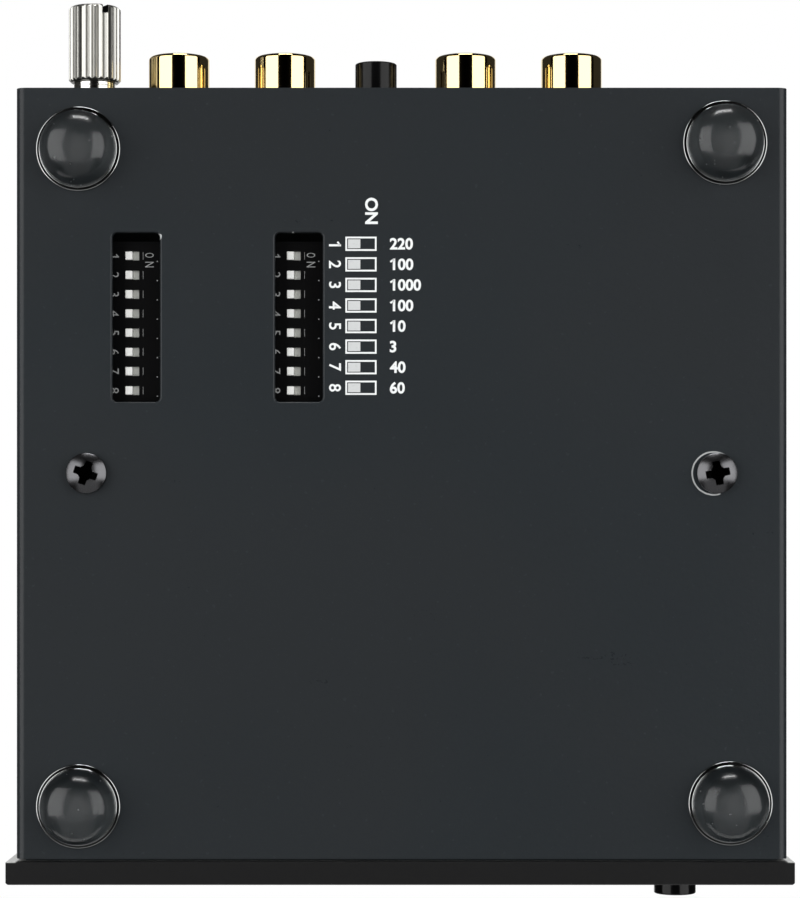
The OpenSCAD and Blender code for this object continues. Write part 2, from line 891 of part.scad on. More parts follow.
module filter_switch_body() {
    facing_rear(filter_x, rear_in_y - switch_back, switch_z)
        switch_body() cube([switch_w, switch_h, switch_l]);
}

module filter_button() {
    facing_rear(filter_x, rear_in_y, switch_z) push_button(sheet_t, filter_out);
}

// ---- power inlet ----

module inlet_body() {
    slot_w = spring_w + 2 * thread_gap;
    color(moulded_black)
    difference() {
        union() {
            block_between(
                [inlet_x - inlet_w / 2, rear_in_y - inlet_l, board_z1],
                [inlet_x + inlet_w / 2, rear_in_y, socket_z + inlet_top]
            );
            facing_rear(inlet_x, rear_in_y, socket_z) cylinder(h = sheet_t, d = inlet_nose_d);
        }
        facing_rear(inlet_x, inlet_floor_y, socket_z)
            cylinder(h = inlet_depth + cut_over, d = inlet_bore_d);
        facing_rear(inlet_x, rear_in_y - inlet_l - cut_over, socket_z)
            cylinder(h = inlet_l, d = inlet_tail_d + 2 * thread_gap);
        block_between(
            [inlet_x - slot_w / 2, spring_y0 - spring_gap, board_z1 - cut_over],
            [inlet_x + slot_w / 2, spring_y1 + spring_gap, spring_z + spring_t]
        );
    }
}

// Centre pin, seated on the floor of the bore, with a thinner tail that runs out through
// the back of the body and turns down to the board.
module inlet_pin() {
    back_y = rear_in_y - inlet_l;
    color(nickel) {
        facing_rear(inlet_x, inlet_floor_y, socket_z)
            cylinder(h = inlet_depth - inlet_pin_back, d = inlet_pin_d);
        facing_rear(inlet_x, back_y - leg_t, socket_z)
            cylinder(h = inlet_floor_y - back_y + leg_t, d = inlet_tail_d);
        block_between(
            [inlet_x - inlet_tail_d / 2, back_y - leg_t, board_z1],
            [inlet_x + inlet_tail_d / 2, back_y, socket_z]
        );
    }
}

// Leaf along the floor of the bore, with a leg that stands on the board.
module inlet_spring() {
    color(nickel) {
        block_between(
            [inlet_x - spring_w / 2, spring_y0, spring_z - spring_t],
            [inlet_x + spring_w / 2, spring_y1, spring_z]
        );
        block_between(
            [inlet_x - spring_w / 2, spring_y0, board_z1],
            [inlet_x + spring_w / 2, spring_y0 + spring_t, spring_z]
        );
    }
}

// ---- power lamp ----

module power_lamp() {
    r = lamp_d / 2;
    straight = sheet_t + panel_t + lamp_out - r;
    color(lamp_blue)
    facing_front(lamp_x, front_in_y, switch_z) {
        cylinder(h = straight, r = r);
        translate([0, 0, straight]) intersection() {
            sphere(r);
            cylinder(h = r, r = r);
        }
        translate([0, 0, -lamp_rim_t]) cylinder(h = lamp_rim_t, r = r + lamp_rim);
    }
}

module lamp_leads() {
    back_y = front_in_y + lamp_rim_t;
    color(zinc)
    for (side = [-1, 1])
        translate([lamp_x + side * pin_pitch / 2 - lead_t / 2, 0, 0]) {
            block_between(
                [0, back_y, switch_z - lead_t / 2],
                [lead_t, back_y + lead_back, switch_z + lead_t / 2]
            );
            block_between(
                [0, back_y + lead_back - lead_t, board_z1],
                [lead_t, back_y + lead_back, switch_z]
            );
        }
}

// ---- parts on the board ----

module electrolytic_capacitors() {
    r = can_d / 2;
    crimp_z = 2;
    crimp_r = 0.35;
    edge = 0.5;
    color(can_blue)
    for (x = can_xs)
        translate([x, case_mid_y + can_y, board_z1])
            rotate_extrude()
                difference() {
                    polygon([
                        [0, 0], [r - edge, 0], [r, edge],
                        [r, can_h - edge], [r - edge, can_h], [0, can_h]
                    ]);
                    translate([r, crimp_z]) circle(crimp_r);
                }
}

module film_capacitors() {
    color(film_red)
    for (x = film_xs, y = film_ys)
        translate([x - film_size[0] / 2, case_mid_y + y - film_size[1] / 2, board_z1])
            cube(film_size);
}

// Eight-leg chip: a moulded body carried on legs that come out of its sides and turn down.
module chip(x, y) {
    leg_w = 0.5;
    leg_t = 0.3;
    lift = 0.5;
    shoulder_z = lift + 1.5;
    span = chip_size[1] + 1.2;
    translate([x, y, board_z1]) {
        translate([-chip_size[0] / 2, -chip_size[1] / 2, lift]) cube(chip_size);
        for (i = [-1.5 : 1.5], turn = [0, 180])
            rotate([0, 0, turn]) translate([i * pin_pitch - leg_w / 2, span / 2 - leg_t, 0]) {
                cube([leg_w, leg_t, shoulder_z + leg_t]);
                translate([0, chip_size[1] / 2 - span / 2, shoulder_z])
                    cube([leg_w, (span - chip_size[1]) / 2 + leg_t, leg_t]);
            }
    }
}

module amplifier_chips() {
    color(moulded_black)
    for (x = chip_xs) chip(x, case_mid_y + chip_y);
}

// Regulator lying flat: a tab on the board, with the moulded body on one end of it.
module regulator(x, y) {
    hole_d = 3.6;
    hole_y = (regulator_tab[1] + regulator_body[1]) / 2;
    translate([x, y, board_z1])
        difference() {
            union() {
                translate([-regulator_tab[0] / 2, 0, 0]) cube(regulator_tab);
                translate([-regulator_body[0] / 2, 0, regulator_tab[2]]) cube(regulator_body);
            }
            translate([0, hole_y, -cut_over])
                cylinder(h = regulator_tab[2] + 2 * cut_over, d = hole_d);
        }
}

module voltage_regulators() {
    color(moulded_black)
    for (i = [0, 1]) regulator(regulator_x0 + i * regulator_pitch, case_mid_y + regulator_y);
}

// Axial resistor on two bent wires.
module resistor(x, y) {
    wire_r = 0.3;
    span = resistor_l + 2 * resistor_wire_out;
    lift = 1.6;
    translate([x, y, board_z1]) {
        translate([-resistor_l / 2, 0, lift]) rotate([0, 90, 0])
            cylinder(h = resistor_l, d = resistor_d);
        translate([-span / 2, 0, lift]) rotate([0, 90, 0]) cylinder(h = span, r = wire_r);
        for (side = [-1, 1])
            translate([side * (span / 2 - wire_r), 0, 0]) cylinder(h = lift, r = wire_r);
    }
}

module resistors() {
    color(resistor_blue)
    for (i = [0 : 2], j = [0 : 3])
        resistor(
            resistor_x0 + i * resistor_pitch[0],
            case_mid_y + resistor_y0 + j * resistor_pitch[1]
        );
}

// ---- the parts ----

lower_shell();
upper_shell();
front_panel();
panel_screws();
case_screws();
board_standoffs();
board_pillars();
foot(-foot_x, foot_front_y, slip_front_left);  // foot_front_left
foot(foot_x, foot_front_y, slip_front_right);  // foot_front_right
foot(-foot_x, foot_rear_y, slip_rear_left);  // foot_rear_left
foot(foot_x, foot_rear_y, slip_rear_right);  // foot_rear_right
circuit_board();
bank_housing(outer_bank_x);  // outer_bank_housing
bank_housing(inner_bank_x);  // inner_bank_housing
bank_lever(outer_bank_x, 1);  // outer_bank_lever_1
bank_lever(outer_bank_x, 2);  // outer_bank_lever_2
bank_lever(outer_bank_x, 3);  // outer_bank_lever_3
bank_lever(outer_bank_x, 4);  // outer_bank_lever_4
bank_lever(outer_bank_x, 5);  // outer_bank_lever_5
bank_lever(outer_bank_x, 6);  // outer_bank_lever_6
bank_lever(outer_bank_x, 7);  // outer_bank_lever_7
bank_lever(outer_bank_x, 8);  // outer_bank_lever_8
bank_lever(inner_bank_x, 1);  // inner_bank_lever_1
bank_lever(inner_bank_x, 2);  // inner_bank_lever_2
bank_lever(inner_bank_x, 3);  // inner_bank_lever_3
bank_lever(inner_bank_x, 4);  // inner_bank_lever_4
bank_lever(inner_bank_x, 5);  // inner_bank_lever_5
bank_lever(inner_bank_x, 6);  // inner_bank_lever_6
bank_lever(inner_bank_x, 7);  // inner_bank_lever_7
bank_lever(inner_bank_x, 8);  // inner_bank_lever_8
socket_block(input_x);  // input_socket_block
socket_block(output_x);  // output_socket_block
barrel(input_far_x);  // input_far_barrel
barrel(input_near_x);  // input_near_barrel
barrel(output_near_x);  // output_near_barrel
barrel(output_far_x);  // output_far_barrel
white_inserts();
red_inserts();
centre_contacts();
ground_bush();
ground_nut();
ground_tag();
ground_washer();
ground_thumbscrew();
power_switch_body();
power_button();
filter_switch_body();
filter_button();
inlet_body();
inlet_pin();
inlet_spring();
power_lamp();
lamp_leads();
electrolytic_capacitors();
film_capacitors();
amplifier_chips();
voltage_regulators();
resistors();
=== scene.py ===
import json
import math

import bpy
from mathutils import Matrix, Vector


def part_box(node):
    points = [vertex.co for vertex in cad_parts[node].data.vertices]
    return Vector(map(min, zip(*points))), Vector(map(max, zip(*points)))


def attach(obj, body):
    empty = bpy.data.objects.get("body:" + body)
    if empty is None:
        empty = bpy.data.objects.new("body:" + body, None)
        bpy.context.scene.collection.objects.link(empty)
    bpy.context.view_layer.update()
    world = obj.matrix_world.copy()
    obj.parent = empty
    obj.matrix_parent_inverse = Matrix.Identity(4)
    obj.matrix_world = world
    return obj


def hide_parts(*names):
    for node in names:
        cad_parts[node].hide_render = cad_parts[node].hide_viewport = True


bl_info = {
    "name": "Phono preamp",
    "version": (1, 0, 0),
    "blender": (4, 5, 0),
    "location": "3D View > Sidebar > Preamp",
    "description": "Finishes, small pieces and stage of a compact phono preamp on its CAD frame",
    "category": "Object",
}

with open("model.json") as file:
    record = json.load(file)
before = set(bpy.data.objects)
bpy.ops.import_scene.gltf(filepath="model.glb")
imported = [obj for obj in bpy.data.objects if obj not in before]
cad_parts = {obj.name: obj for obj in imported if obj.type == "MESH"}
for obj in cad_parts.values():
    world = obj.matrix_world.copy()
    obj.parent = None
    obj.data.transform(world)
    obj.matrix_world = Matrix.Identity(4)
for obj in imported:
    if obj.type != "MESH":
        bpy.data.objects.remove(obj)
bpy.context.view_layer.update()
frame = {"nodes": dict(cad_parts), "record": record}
NODES = frame["nodes"]

MM = 0.001
MERGE_WITHIN = 0.0005 * MM
WHITE = (1.0, 1.0, 1.0)
SLOT_OF = {row["node"]: row["material_slot"] for row in frame["record"]["subparts"]}


# ---- places that come from the frame ----

def middle(node):
    low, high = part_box(node)
    return (low + high) / 2


def in_mm(value):
    return value / MM


PLATE_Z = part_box("lower_shell")[0].z
CASE_BACK_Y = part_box("lower_shell")[1].y
PANEL_BACK_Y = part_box("front_panel")[1].y
BANK_FACE_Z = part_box("outer_bank_housing")[0].z
FEET = ["foot_front_left", "foot_front_right", "foot_rear_left", "foot_rear_right"]
BARRELS = ["input_far_barrel", "input_near_barrel", "output_near_barrel", "output_far_barrel"]
BANKS = ["outer", "inner"]


# ---- settings ----

def length(name, description, default_mm):
    return bpy.props.FloatProperty(
        name=name, description=description, default=default_mm * MM, min=0.0, max=50.0 * MM,
        unit="LENGTH", precision=5,
    )


def colour(name, description, default):
    return bpy.props.FloatVectorProperty(
        name=name, description=description, default=default, size=3, min=0.0, max=1.0,
        subtype="COLOR",
    )


class PreampSizes(bpy.types.PropertyGroup):
    """Sizes of the small pieces that are made on the frame."""

    window_edge: length("Window edge", "Rounding of the edge round each window", 0.3)
    sheet_edge: length("Sheet edge", "Rounding of the cut edges of the steel", 0.12)
    panel_round: length("Panel edge", "Rounding of the edges of the front panel", 0.2)
    foot_rim: length("Foot rim", "Thickness of the rim round a foot", 0.5)
    foot_lip: length("Foot lip", "Width of the rim that stands out round a foot's dome", 0.6)
    screw_recess: length("Screw recess", "Length of the cross recess in a case screw", 3.2)
    barrel_wide: length("Barrel", "Outside diameter of a socket barrel", 8.3)
    barrel_bore: length("Barrel bore", "Inside diameter of a socket barrel", 6.75)
    barrel_round: length("Barrel rim", "Rounding of the outer edge of a barrel's rim", 0.5)
    button_round: length("Button edge", "Rounding of the edge of a button's face", 0.2)
    print_height: length("Print height", "Thickness of the printed marks", 0.02)
    box_long: length("Box length", "Length of a printed switch box", 4.08)
    box_wide: length("Box width", "Width of a printed switch box", 1.857)
    box_line: length("Box line", "Line width of a printed switch box", 0.222)
    bore_mouth: length("Socket mouth", "Diameter of the mouth in a socket's insert", 3.5)


class PreampColours(bpy.types.PropertyGroup):
    """Colours of the finishes."""

    coating: colour("Coating", "Powder coat of the case", (0.0160, 0.0194, 0.0220))
    panel: colour("Panel", "Black of the front panel", (0.0088, 0.0088, 0.0090))
    bare_metal: colour("Bare metal", "Back of the front panel", (0.72, 0.73, 0.71))
    ink: colour("Ink", "Printed marks on the case", (0.80, 0.82, 0.82))
    bank_ink: colour("Bank ink", "Printed marks on the lever banks", (0.32, 0.325, 0.325))
    lever: colour("Lever", "Levers of the banks", (0.95, 0.96, 0.90))
    gold: colour("Gold", "Plating of the sockets", (0.84, 0.66, 0.33))
    nickel: colour("Nickel", "Plating of the ground terminal", (0.78, 0.77, 0.72))
    dark_nickel: colour("Dark nickel", "Plating of the case screws", (0.115, 0.115, 0.12))
    foot: colour("Foot", "Clear bumper of a foot", (0.50, 0.54, 0.55))


# ---- shader building ----

class Socket:
    """The output of a node, on which shader maths is written as plain arithmetic."""

    def __init__(self, wiring, output):
        self.wiring = wiring
        self.output = output

    def math(self, operation, *others):
        values = dict(enumerate((self, *others)))
        return self.wiring.node("ShaderNodeMath", {"operation": operation}, values)

    def __add__(self, other):
        return self.math("ADD", other)

    __radd__ = __add__

    def __sub__(self, other):
        return self.math("SUBTRACT", other)

    def __rsub__(self, other):
        return self.wiring.node("ShaderNodeMath", {"operation": "SUBTRACT"}, {0: other, 1: self})

    def __mul__(self, other):
        return self.math("MULTIPLY", other)

    __rmul__ = __mul__

    def __truediv__(self, other):
        return self.math("DIVIDE", other)

    def __abs__(self):
        return self.math("ABSOLUTE")


class Wiring:
    """A node tree in the making, cleared but for the output that its surface feeds."""

    def __init__(self, tree, end):
        tree.nodes.clear()
        self.tree = tree
        self.surface = tree.nodes.new(end).inputs["Surface"]

    def node(self, kind, settings, sockets, output=0):
        """Adds a node, makes its settings, feeds its sockets and returns one output."""
        made = self.tree.nodes.new(kind)
        for key, value in settings.items():
            setattr(made, key, value)
        for key, value in sockets.items():
            self.feed(made.inputs[key], value)
        return Socket(self, made.outputs[output])

    def feed(self, entry, value):
        if isinstance(value, Socket):
            self.tree.links.new(value.output, entry)
        elif entry.type == "RGBA":
            entry.default_value = (*value, 1.0)
        else:
            entry.default_value = value

    def step(self, value, low, high):
        """0 below low, 1 above high, smooth between."""
        return self.node("ShaderNodeMapRange", {"interpolation_type": "SMOOTHSTEP"},
                         {0: value, 1: low, 2: high, 3: 0.0, 4: 1.0})

    def blend_shaders(self, factor, first, second):
        blended = self.node("ShaderNodeMixShader", {}, {0: factor, 1: first, 2: second})
        self.feed(self.surface, blended)


class Finish(Wiring):
    """A material in the making, with one main shader at its end."""

    def __init__(self, name, **constants):
        self.material = bpy.data.materials.new(name)
        self.material.use_nodes = True
        super().__init__(self.material.node_tree, "ShaderNodeOutputMaterial")
        names = {key.replace("_", " "): value for key, value in constants.items()}
        self.shader = self.node("ShaderNodeBsdfPrincipled", {}, names)
        self.feed(self.surface, self.shader)
        self.place = self.node("ShaderNodeTexCoord", {}, {}, "Object")

    def set(self, **values):
        """Feeds the shader's own sockets."""
        for key, value in values.items():
            self.feed(self.shader.output.node.inputs[key.replace("_", " ")], value)

    def stretched(self, x, y, z):
        """The place with each axis scaled, which draws a pattern out along the small ones."""
        return self.node("ShaderNodeMapping", {}, {"Vector": self.place, "Scale": (x, y, z)})

    def noise(self, scale, detail=2.0, roughness=0.5, place=None):
        sockets = {"Vector": place or self.place, "Scale": scale, "Detail": detail,
                   "Roughness": roughness}
        return self.node("ShaderNodeTexNoise", {}, sockets, "Fac")

    def cell_edges(self, scale):
        """How far a point is from the edge of its cell."""
        return self.node("ShaderNodeTexVoronoi", {"feature": "DISTANCE_TO_EDGE"},
                         {"Vector": self.place, "Scale": scale}, "Distance")

    def axis(self, letter):
        return self.node("ShaderNodeSeparateXYZ", {}, {0: self.place}, letter)

    def plan_radius(self, x_mm, y_mm):
        """How far a point is on plan from that place, in mm."""
        across = self.axis("X") / MM - x_mm
        along = self.axis("Y") / MM - y_mm
        return (across * across + along * along).math("SQRT")

    def mix(self, factor, first, second):
        """Goes from the first colour to the second."""
        return self.node("ShaderNodeMix", {"data_type": "RGBA"},
                         {0: factor, 6: first, 7: second}, 2)

    def bump(self, height, strength, distance, over=None):
        sockets = {"Height": height, "Strength": strength, "Distance": distance}
        if over:
            sockets["Normal"] = over
        return self.node("ShaderNodeBump", {}, sockets)


def shade(rgb, factor):
    return tuple(min(1.0, part * factor) for part in rgb)


# ---- the finishes, one for each slot of the record ----

NEUTRAL_COATING = (0.0185, 0.0194, 0.0205)
SCRAPE_AND_GLINT_STEEL = (0.47, 0.48, 0.48)
SCRAPE_SHIFT = 0.40
SCRAPE_RADII = (2.68, 2.73, 2.87, 2.93)
# painted glints at two window corners: x, y and radius in mm
GLINT_CHIPS = ((31.85, 27.3, 0.45), (14.22, 27.85, 0.16))


def case_coating(colours):
    """Fine powder coat: a close orange-peel grain with a few paler nibs and faint rubs."""
    made = Finish("case_coating", IOR=1.5, Specular_IOR_Level=0.25)
    grain = made.noise(2300.0, 3.0, 0.6)
    peel = made.noise(650.0, 2.0)
    cloud = made.noise(38.0, 3.0)
    drift = made.step(made.noise(21.0, 2.0), 0.38, 0.62)
    nib = made.step(made.noise(1400.0, 1.0), 0.70, 0.78)
    rub = made.step(made.noise(60.0, 5.0, 0.7, made.stretched(1.0, 5.0, 5.0)), 0.60, 0.75)
    tone = made.mix(cloud, shade(colours.coating, 0.88), shade(colours.coating, 1.12))
    tone = made.mix(drift * 0.5, tone, NEUTRAL_COATING)
    tone = made.mix(grain * 0.5, tone, shade(colours.coating, 1.35))
    tone = made.mix(nib * 0.25, tone, shade(colours.coating, 3.0))
    # bare steel at a scraped ring round a screw, and painted glints at two window corners
    bare = bare_steel(made)
    made.set(Base_Color=made.mix(bare, tone, SCRAPE_AND_GLINT_STEEL), Metallic=bare * 0.25)
    made.set(Roughness=0.30 + 0.10 * (grain - 0.5) - 0.02 * rub + bare * 0.1)
    fine = made.bump(grain, 0.35, 0.00004)
    made.set(Normal=made.bump(peel, 0.25, 0.00006, fine))
    return made


def bare_steel(made):
    """Where the coating is gone, a scraped ring round a screw, and painted glints at the windows as
    pale chips of bare steel, in mm.
    """
    ragged = (made.noise(1700.0, 2.0) - 0.5) * 0.3
    outside = 1 - made.step(made.axis("Z"), PLATE_Z + 0.8 * MM, PLATE_Z + 0.9 * MM)
    low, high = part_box("case_screws")
    ring_x = in_mm(low.x) + in_mm(high.y - low.y) / 2 + SCRAPE_SHIFT
    ring_y = in_mm((low.y + high.y) / 2)
    radius = made.plan_radius(ring_x, ring_y) + ragged * 0.3
    inner = made.step(radius, *SCRAPE_RADII[:2])
    bare = inner * (1 - made.step(radius, *SCRAPE_RADII[2:]))
    upper = made.step(made.axis("Y") / MM, ring_y - 0.1, ring_y + 0.1)
    beyond = ring_x - made.axis("X") / MM - 0.8 - upper * 0.9
    bare = bare * (1 - made.step(beyond, 0.0, 0.2))
    # painted highlights: pale patches of bare steel at two window corners stand in for glints
    for x, y, size in GLINT_CHIPS:
        glint_chip = 1 - made.step(made.plan_radius(x, y) + ragged, size - 0.05, size + 0.05)
        bare = bare.math("MAXIMUM", glint_chip)
    return bare * outside


def panel_finish(colours):
    """Satin black on the face and the edges, bare milled metal on the back, and black painted shade
    on the back's strip under the case.
    """
    made = Finish("panel_finish", IOR=1.5, Specular_IOR_Level=0.14)
    behind = made.step(made.axis("Y"), PANEL_BACK_Y - 0.12 * MM, PANEL_BACK_Y - 0.04 * MM)
    case_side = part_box("lower_shell")[1].x
    beside = made.step(abs(made.axis("X")), case_side - 0.3 * MM, case_side + 0.1 * MM)
    above = made.step(made.axis("Z"), PLATE_Z + 0.2 * MM, PLATE_Z + 0.5 * MM)
    # painted shade: below the plate and between the case's sides the back stays black
    behind = behind * beside.math("MAXIMUM", above)
    grain = made.noise(1700.0, 3.0)
    milled = made.noise(900.0, 4.0, 0.6, made.stretched(0.06, 1.0, 1.0))
    wear = made.step(made.noise(420.0, 4.0, 0.7), 0.66, 0.80)
    black = made.mix(grain, shade(colours.panel, 0.85), shade(colours.panel, 1.25))
    black = made.mix(wear * 0.18, black, shade(colours.panel, 3.2))
    metal = made.mix(milled, shade(colours.bare_metal, 0.82), colours.bare_metal)
    made.set(Base_Color=made.mix(behind, black, metal), Metallic=behind * 0.85)
    made.set(Roughness=0.40 + 0.08 * grain - behind * 0.06)
    made.set(Normal=made.bump(grain * (1 - behind) + milled * behind, 0.18, 0.00003))
    return made


def plated(name, rgb, rough, dulled, streak=(1.0, 1.0, 1.0), scale=900.0, spread=0.06, dark=None):
    """Plated metal with fine marks along one direction, a little dulling and painted shade in its
    hollows.
    """
    made = Finish(name, Metallic=1.0)
    marks = made.noise(scale, 4.0, 0.6, made.stretched(*streak))
    cloud = made.noise(230.0, 3.0)
    tone = made.mix(cloud, shade(rgb, 0.93), shade(rgb, 1.04))
    tone = made.mix(made.step(cloud, 0.62, 0.80) * dulled, tone, shade(rgb, 0.6))
    if dark:
        # painted shade: where the given mask is high, the colour goes near black
        tone = made.mix(dark(made), tone, (0.002, 0.002, 0.002))
    made.set(Base_Color=tone, Roughness=rough + spread * marks + 0.8 * spread * cloud)
    made.set(Normal=made.bump(marks, 0.10, 0.00002))
    return made


def zinc_plate(colours):
    return plated("zinc_plate", (0.62, 0.64, 0.68), 0.28, 0.4)


def dark_nickel_plate(colours):
    return plated("dark_nickel_plate", colours.dark_nickel, 0.21, 0.5, scale=1500.0,
                  dark=screw_recess_shade)


def screw_recess_shade(made):
    """Painted shade inside the cross recesses of the case screws, in mm."""
    low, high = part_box("case_screws")
    head_r = in_mm(high.y - low.y) / 2
    reach = in_mm(high.x - low.x) / 2 - head_r
    centre = in_mm(middle("case_screws"))
    across = abs(made.axis("X") / MM - centre.x) - reach
    along = made.axis("Y") / MM - centre.y
    crown_fall = (across * across + along * along) * 0.11
    depth = made.axis("Z") / MM - in_mm(low.z) - crown_fall
    inside = 1 - made.step(crown_fall, 0.34, 0.36)
    return made.step(depth, 0.06, 0.22) * inside


def gold_plate(colours):
    return plated("gold_plate", colours.gold, 0.045, 0.25, (1.0, 9.0, 1.0), 500.0, 0.03)


def contact_plate(colours):
    return plated("contact_plate", shade(colours.gold, 0.92), 0.2, 0.35, (1.0, 6.0, 1.0))


def bright_nickel(colours):
    return plated("bright_nickel", colours.nickel, 0.10, 0.25, (1.0, 7.0, 1.0), 600.0)


def satin_nickel(colours):
    return plated("satin_nickel", shade(colours.nickel, 0.72), 0.25, 0.25, (1.0, 0.2, 1.0), 2400.0,
                  0.06, thumbscrew_shade)


DRIVER_SLOT_TURN = math.radians(32.0)


def thumbscrew_shade(made):
    """Painted shade between the ridges of the knurl and inside the slot across its end."""
    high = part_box("ground_thumbscrew")[1]
    axis = middle("ground_washer")
    side = made.axis("X") - axis.x
    height = made.axis("Z") - axis.z
    across = side * math.cos(DRIVER_SLOT_TURN) - height * math.sin(DRIVER_SLOT_TURN)
    beside = 1 - made.step(abs(across), 0.41 * MM, 0.43 * MM)
    slot = beside * made.step(made.axis("Y"), high.y - 1.25 * MM, high.y - 1.05 * MM)
    radius = (side * side + height * height).math("SQRT") / MM
    crest = in_mm(high.x - axis.x)
    # painted shade: the knurl's hollows, near the axis, are darkened
    groove_shade = 1 - made.step(radius, crest - 0.24, crest - 0.12)
    groove_shade = groove_shade * (1 - made.step(made.axis("Y"), high.y - 0.2 * MM, high.y - 0.1 * MM))
    return slot.math("MAXIMUM", groove_shade * 0.72)


def tinned_metal(colours):
    return plated("tinned_metal", (0.66, 0.67, 0.68), 0.33, 0.5, scale=1300.0)


def clear_rubber(colours):
    """Clear soft resin with a few specks of dust in its skin, and a rim painted metallic grey as a
    painted reflection of light in the dome.
    """
    made = Finish("clear_rubber", Transmission_Weight=1.0, IOR=1.48, Specular_IOR_Level=0.60)
    low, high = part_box(FEET[0])
    rim_r = in_mm(high.x - low.x) / 2
    centres = [in_mm(middle(node)) for node in FEET]
    radii = [made.plan_radius(centre.x, centre.y) for centre in centres]
    radius = radii[0]
    for other in radii[1:]:
        radius = radius.math("MINIMUM", other)
    # painted reflection: the rim's rounding is made metallic grey so that it shows bright lines
    rim = made.step(radius, rim_r - 0.68, rim_r - 0.60)
    rim = rim * made.step(made.axis("Z"), high.z - 0.9 * MM, high.z - 0.6 * MM)
    dust = made.step(made.noise(1500.0, 2.0), 0.70, 0.80)
    skin = made.noise(260.0, 3.0)
    tone = made.mix(dust * 0.5, colours.foot, (0.6, 0.6, 0.6))
    made.set(Base_Color=made.mix(rim, tone, (0.34, 0.35, 0.35)), Metallic=rim)
    made.set(Roughness=0.19 + 0.06 * skin + 0.2 * dust - 0.07 * rim)
    made.set(Normal=made.bump(skin, 0.10, 0.00004))
    return made


def moulded(name, rgb, rough, grain_scale=2400.0, grain_depth=0.3, specks=0.15, gloss=0.5):
    """Moulded plastic: a spark-eroded grain, soft clouding and a few pale specks."""
    made = Finish(name, IOR=1.5, Specular_IOR_Level=gloss)
    grain = made.noise(grain_scale, 2.0)
    cloud = made.noise(170.0, 3.0)
    speck = made.step(made.noise(1900.0, 1.0), 0.71, 0.77)
    tone = made.mix(cloud, shade(rgb, 0.86), shade(rgb, 1.12))
    tone = made.mix(speck * specks, tone, shade(rgb, 2.4))
    made.tone = tone
    made.set(Base_Color=tone, Roughness=rough + 0.12 * grain)
    made.set(Normal=made.bump(grain, grain_depth, 0.00003))
    return made


def bank_plastic(colours):
    return moulded("bank_plastic", (0.0024, 0.0024, 0.0026), 0.34, gloss=0.1)


def lever_plastic(colours):
    """White plastic, with painted shade greying the plate behind the knob."""
    made = moulded("lever_plastic", colours.lever, 0.35, 3000.0, 0.15, 0.0)
    # painted shade: the lever's plate, which lies deeper than the bank's face, is darkened
    plate_shade = made.step(made.axis("Z"), BANK_FACE_Z, BANK_FACE_Z + 0.25 * MM)
    made.set(Base_Color=made.mix(plate_shade, made.tone, shade(colours.lever, 0.62)))
    return made


def block_plastic(colours):
    return moulded("block_plastic", (0.014, 0.014, 0.015), 0.42)


def white_insert_plastic(colours):
    return moulded("white_insert_plastic", (0.74, 0.74, 0.70), 0.38, 2000.0, 0.2, 0.0)


def red_insert_plastic(colours):
    return moulded("red_insert_plastic", (0.46, 0.012, 0.010), 0.36, 2000.0, 0.2, 0.1)


def button_plastic(colours):
    return moulded("button_plastic", (0.0026, 0.0026, 0.0028), 0.11, 1500.0, 0.05, 0.1, 0.20)


def chip_plastic(colours):
    return moulded("chip_plastic", (0.018, 0.018, 0.019), 0.6, 3200.0, 0.5, 0.25)


def film_case(colours):
    return moulded("film_case", (0.30, 0.016, 0.012), 0.3, 1500.0, 0.15, 0.1)


def board_laminate(colours):
    """Black mask over raised tracks, with the weave of the laminate just showing."""
    made = Finish("board_laminate", IOR=1.5)
    tracks = made.step(made.cell_edges(160.0), 0.06, 0.09)
    weave = made.noise(1200.0, 1.0, 0.5, made.stretched(1.0, 0.3, 1.0))
    tone = made.mix(tracks, (0.0036, 0.0042, 0.0038), (0.0060, 0.0068, 0.0062))
    made.set(Base_Color=tone, Roughness=0.24 + 0.12 * weave)
    made.set(Normal=made.bump(weave + tracks, 0.2, 0.00004))
    return made


def lamp_lens(colours):
    """Tinted clear resin, clouded a little at random."""
    made = Finish("lamp_lens", Transmission_Weight=0.85, IOR=1.52)
    cloud = made.noise(700.0, 3.0)
    made.set(Base_Color=made.mix(cloud, (0.16, 0.30, 0.75), (0.30, 0.48, 0.90)))
    made.set(Roughness=0.08 + 0.1 * cloud)
    made.set(Normal=made.bump(cloud, 0.1, 0.00003))
    return made


def can_sleeve(colours):
    """Dark blue shrunk sleeve, with the bare can showing at the top."""
    made = Finish("can_sleeve", IOR=1.5)
    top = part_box("electrolytic_capacitors")[1].z
    bare = made.step(made.axis("Z"), top - 0.25 * MM, top - 0.15 * MM)
    crease = made.noise(500.0, 3.0, 0.6, made.stretched(1.0, 1.0, 0.1))
    sleeve = made.mix(crease, (0.008, 0.014, 0.075), (0.014, 0.024, 0.12))
    made.set(Base_Color=made.mix(bare, sleeve, (0.78, 0.78, 0.79)), Metallic=bare)
    made.set(Roughness=0.22 + 0.14 * crease)
    made.set(Normal=made.bump(crease, 0.25, 0.00005))
    return made


def resistor_lacquer(colours):
    """Pale blue lacquer with darker bands across the body."""
    made = Finish("resistor_lacquer", IOR=1.5)
    wave = (made.axis("X") * (2 * math.pi / (1.3 * MM))).math("SINE")
    band = made.step(wave, 0.45, 0.60)
    dips = made.noise(800.0, 2.0)
    tone = made.mix(dips, (0.085, 0.30, 0.50), (0.12, 0.36, 0.58))
    made.set(Base_Color=made.mix(band, tone, (0.16, 0.05, 0.02)))
    made.set(Roughness=0.25 + 0.15 * dips)
    made.set(Normal=made.bump(dips, 0.3, 0.00006))
    return made


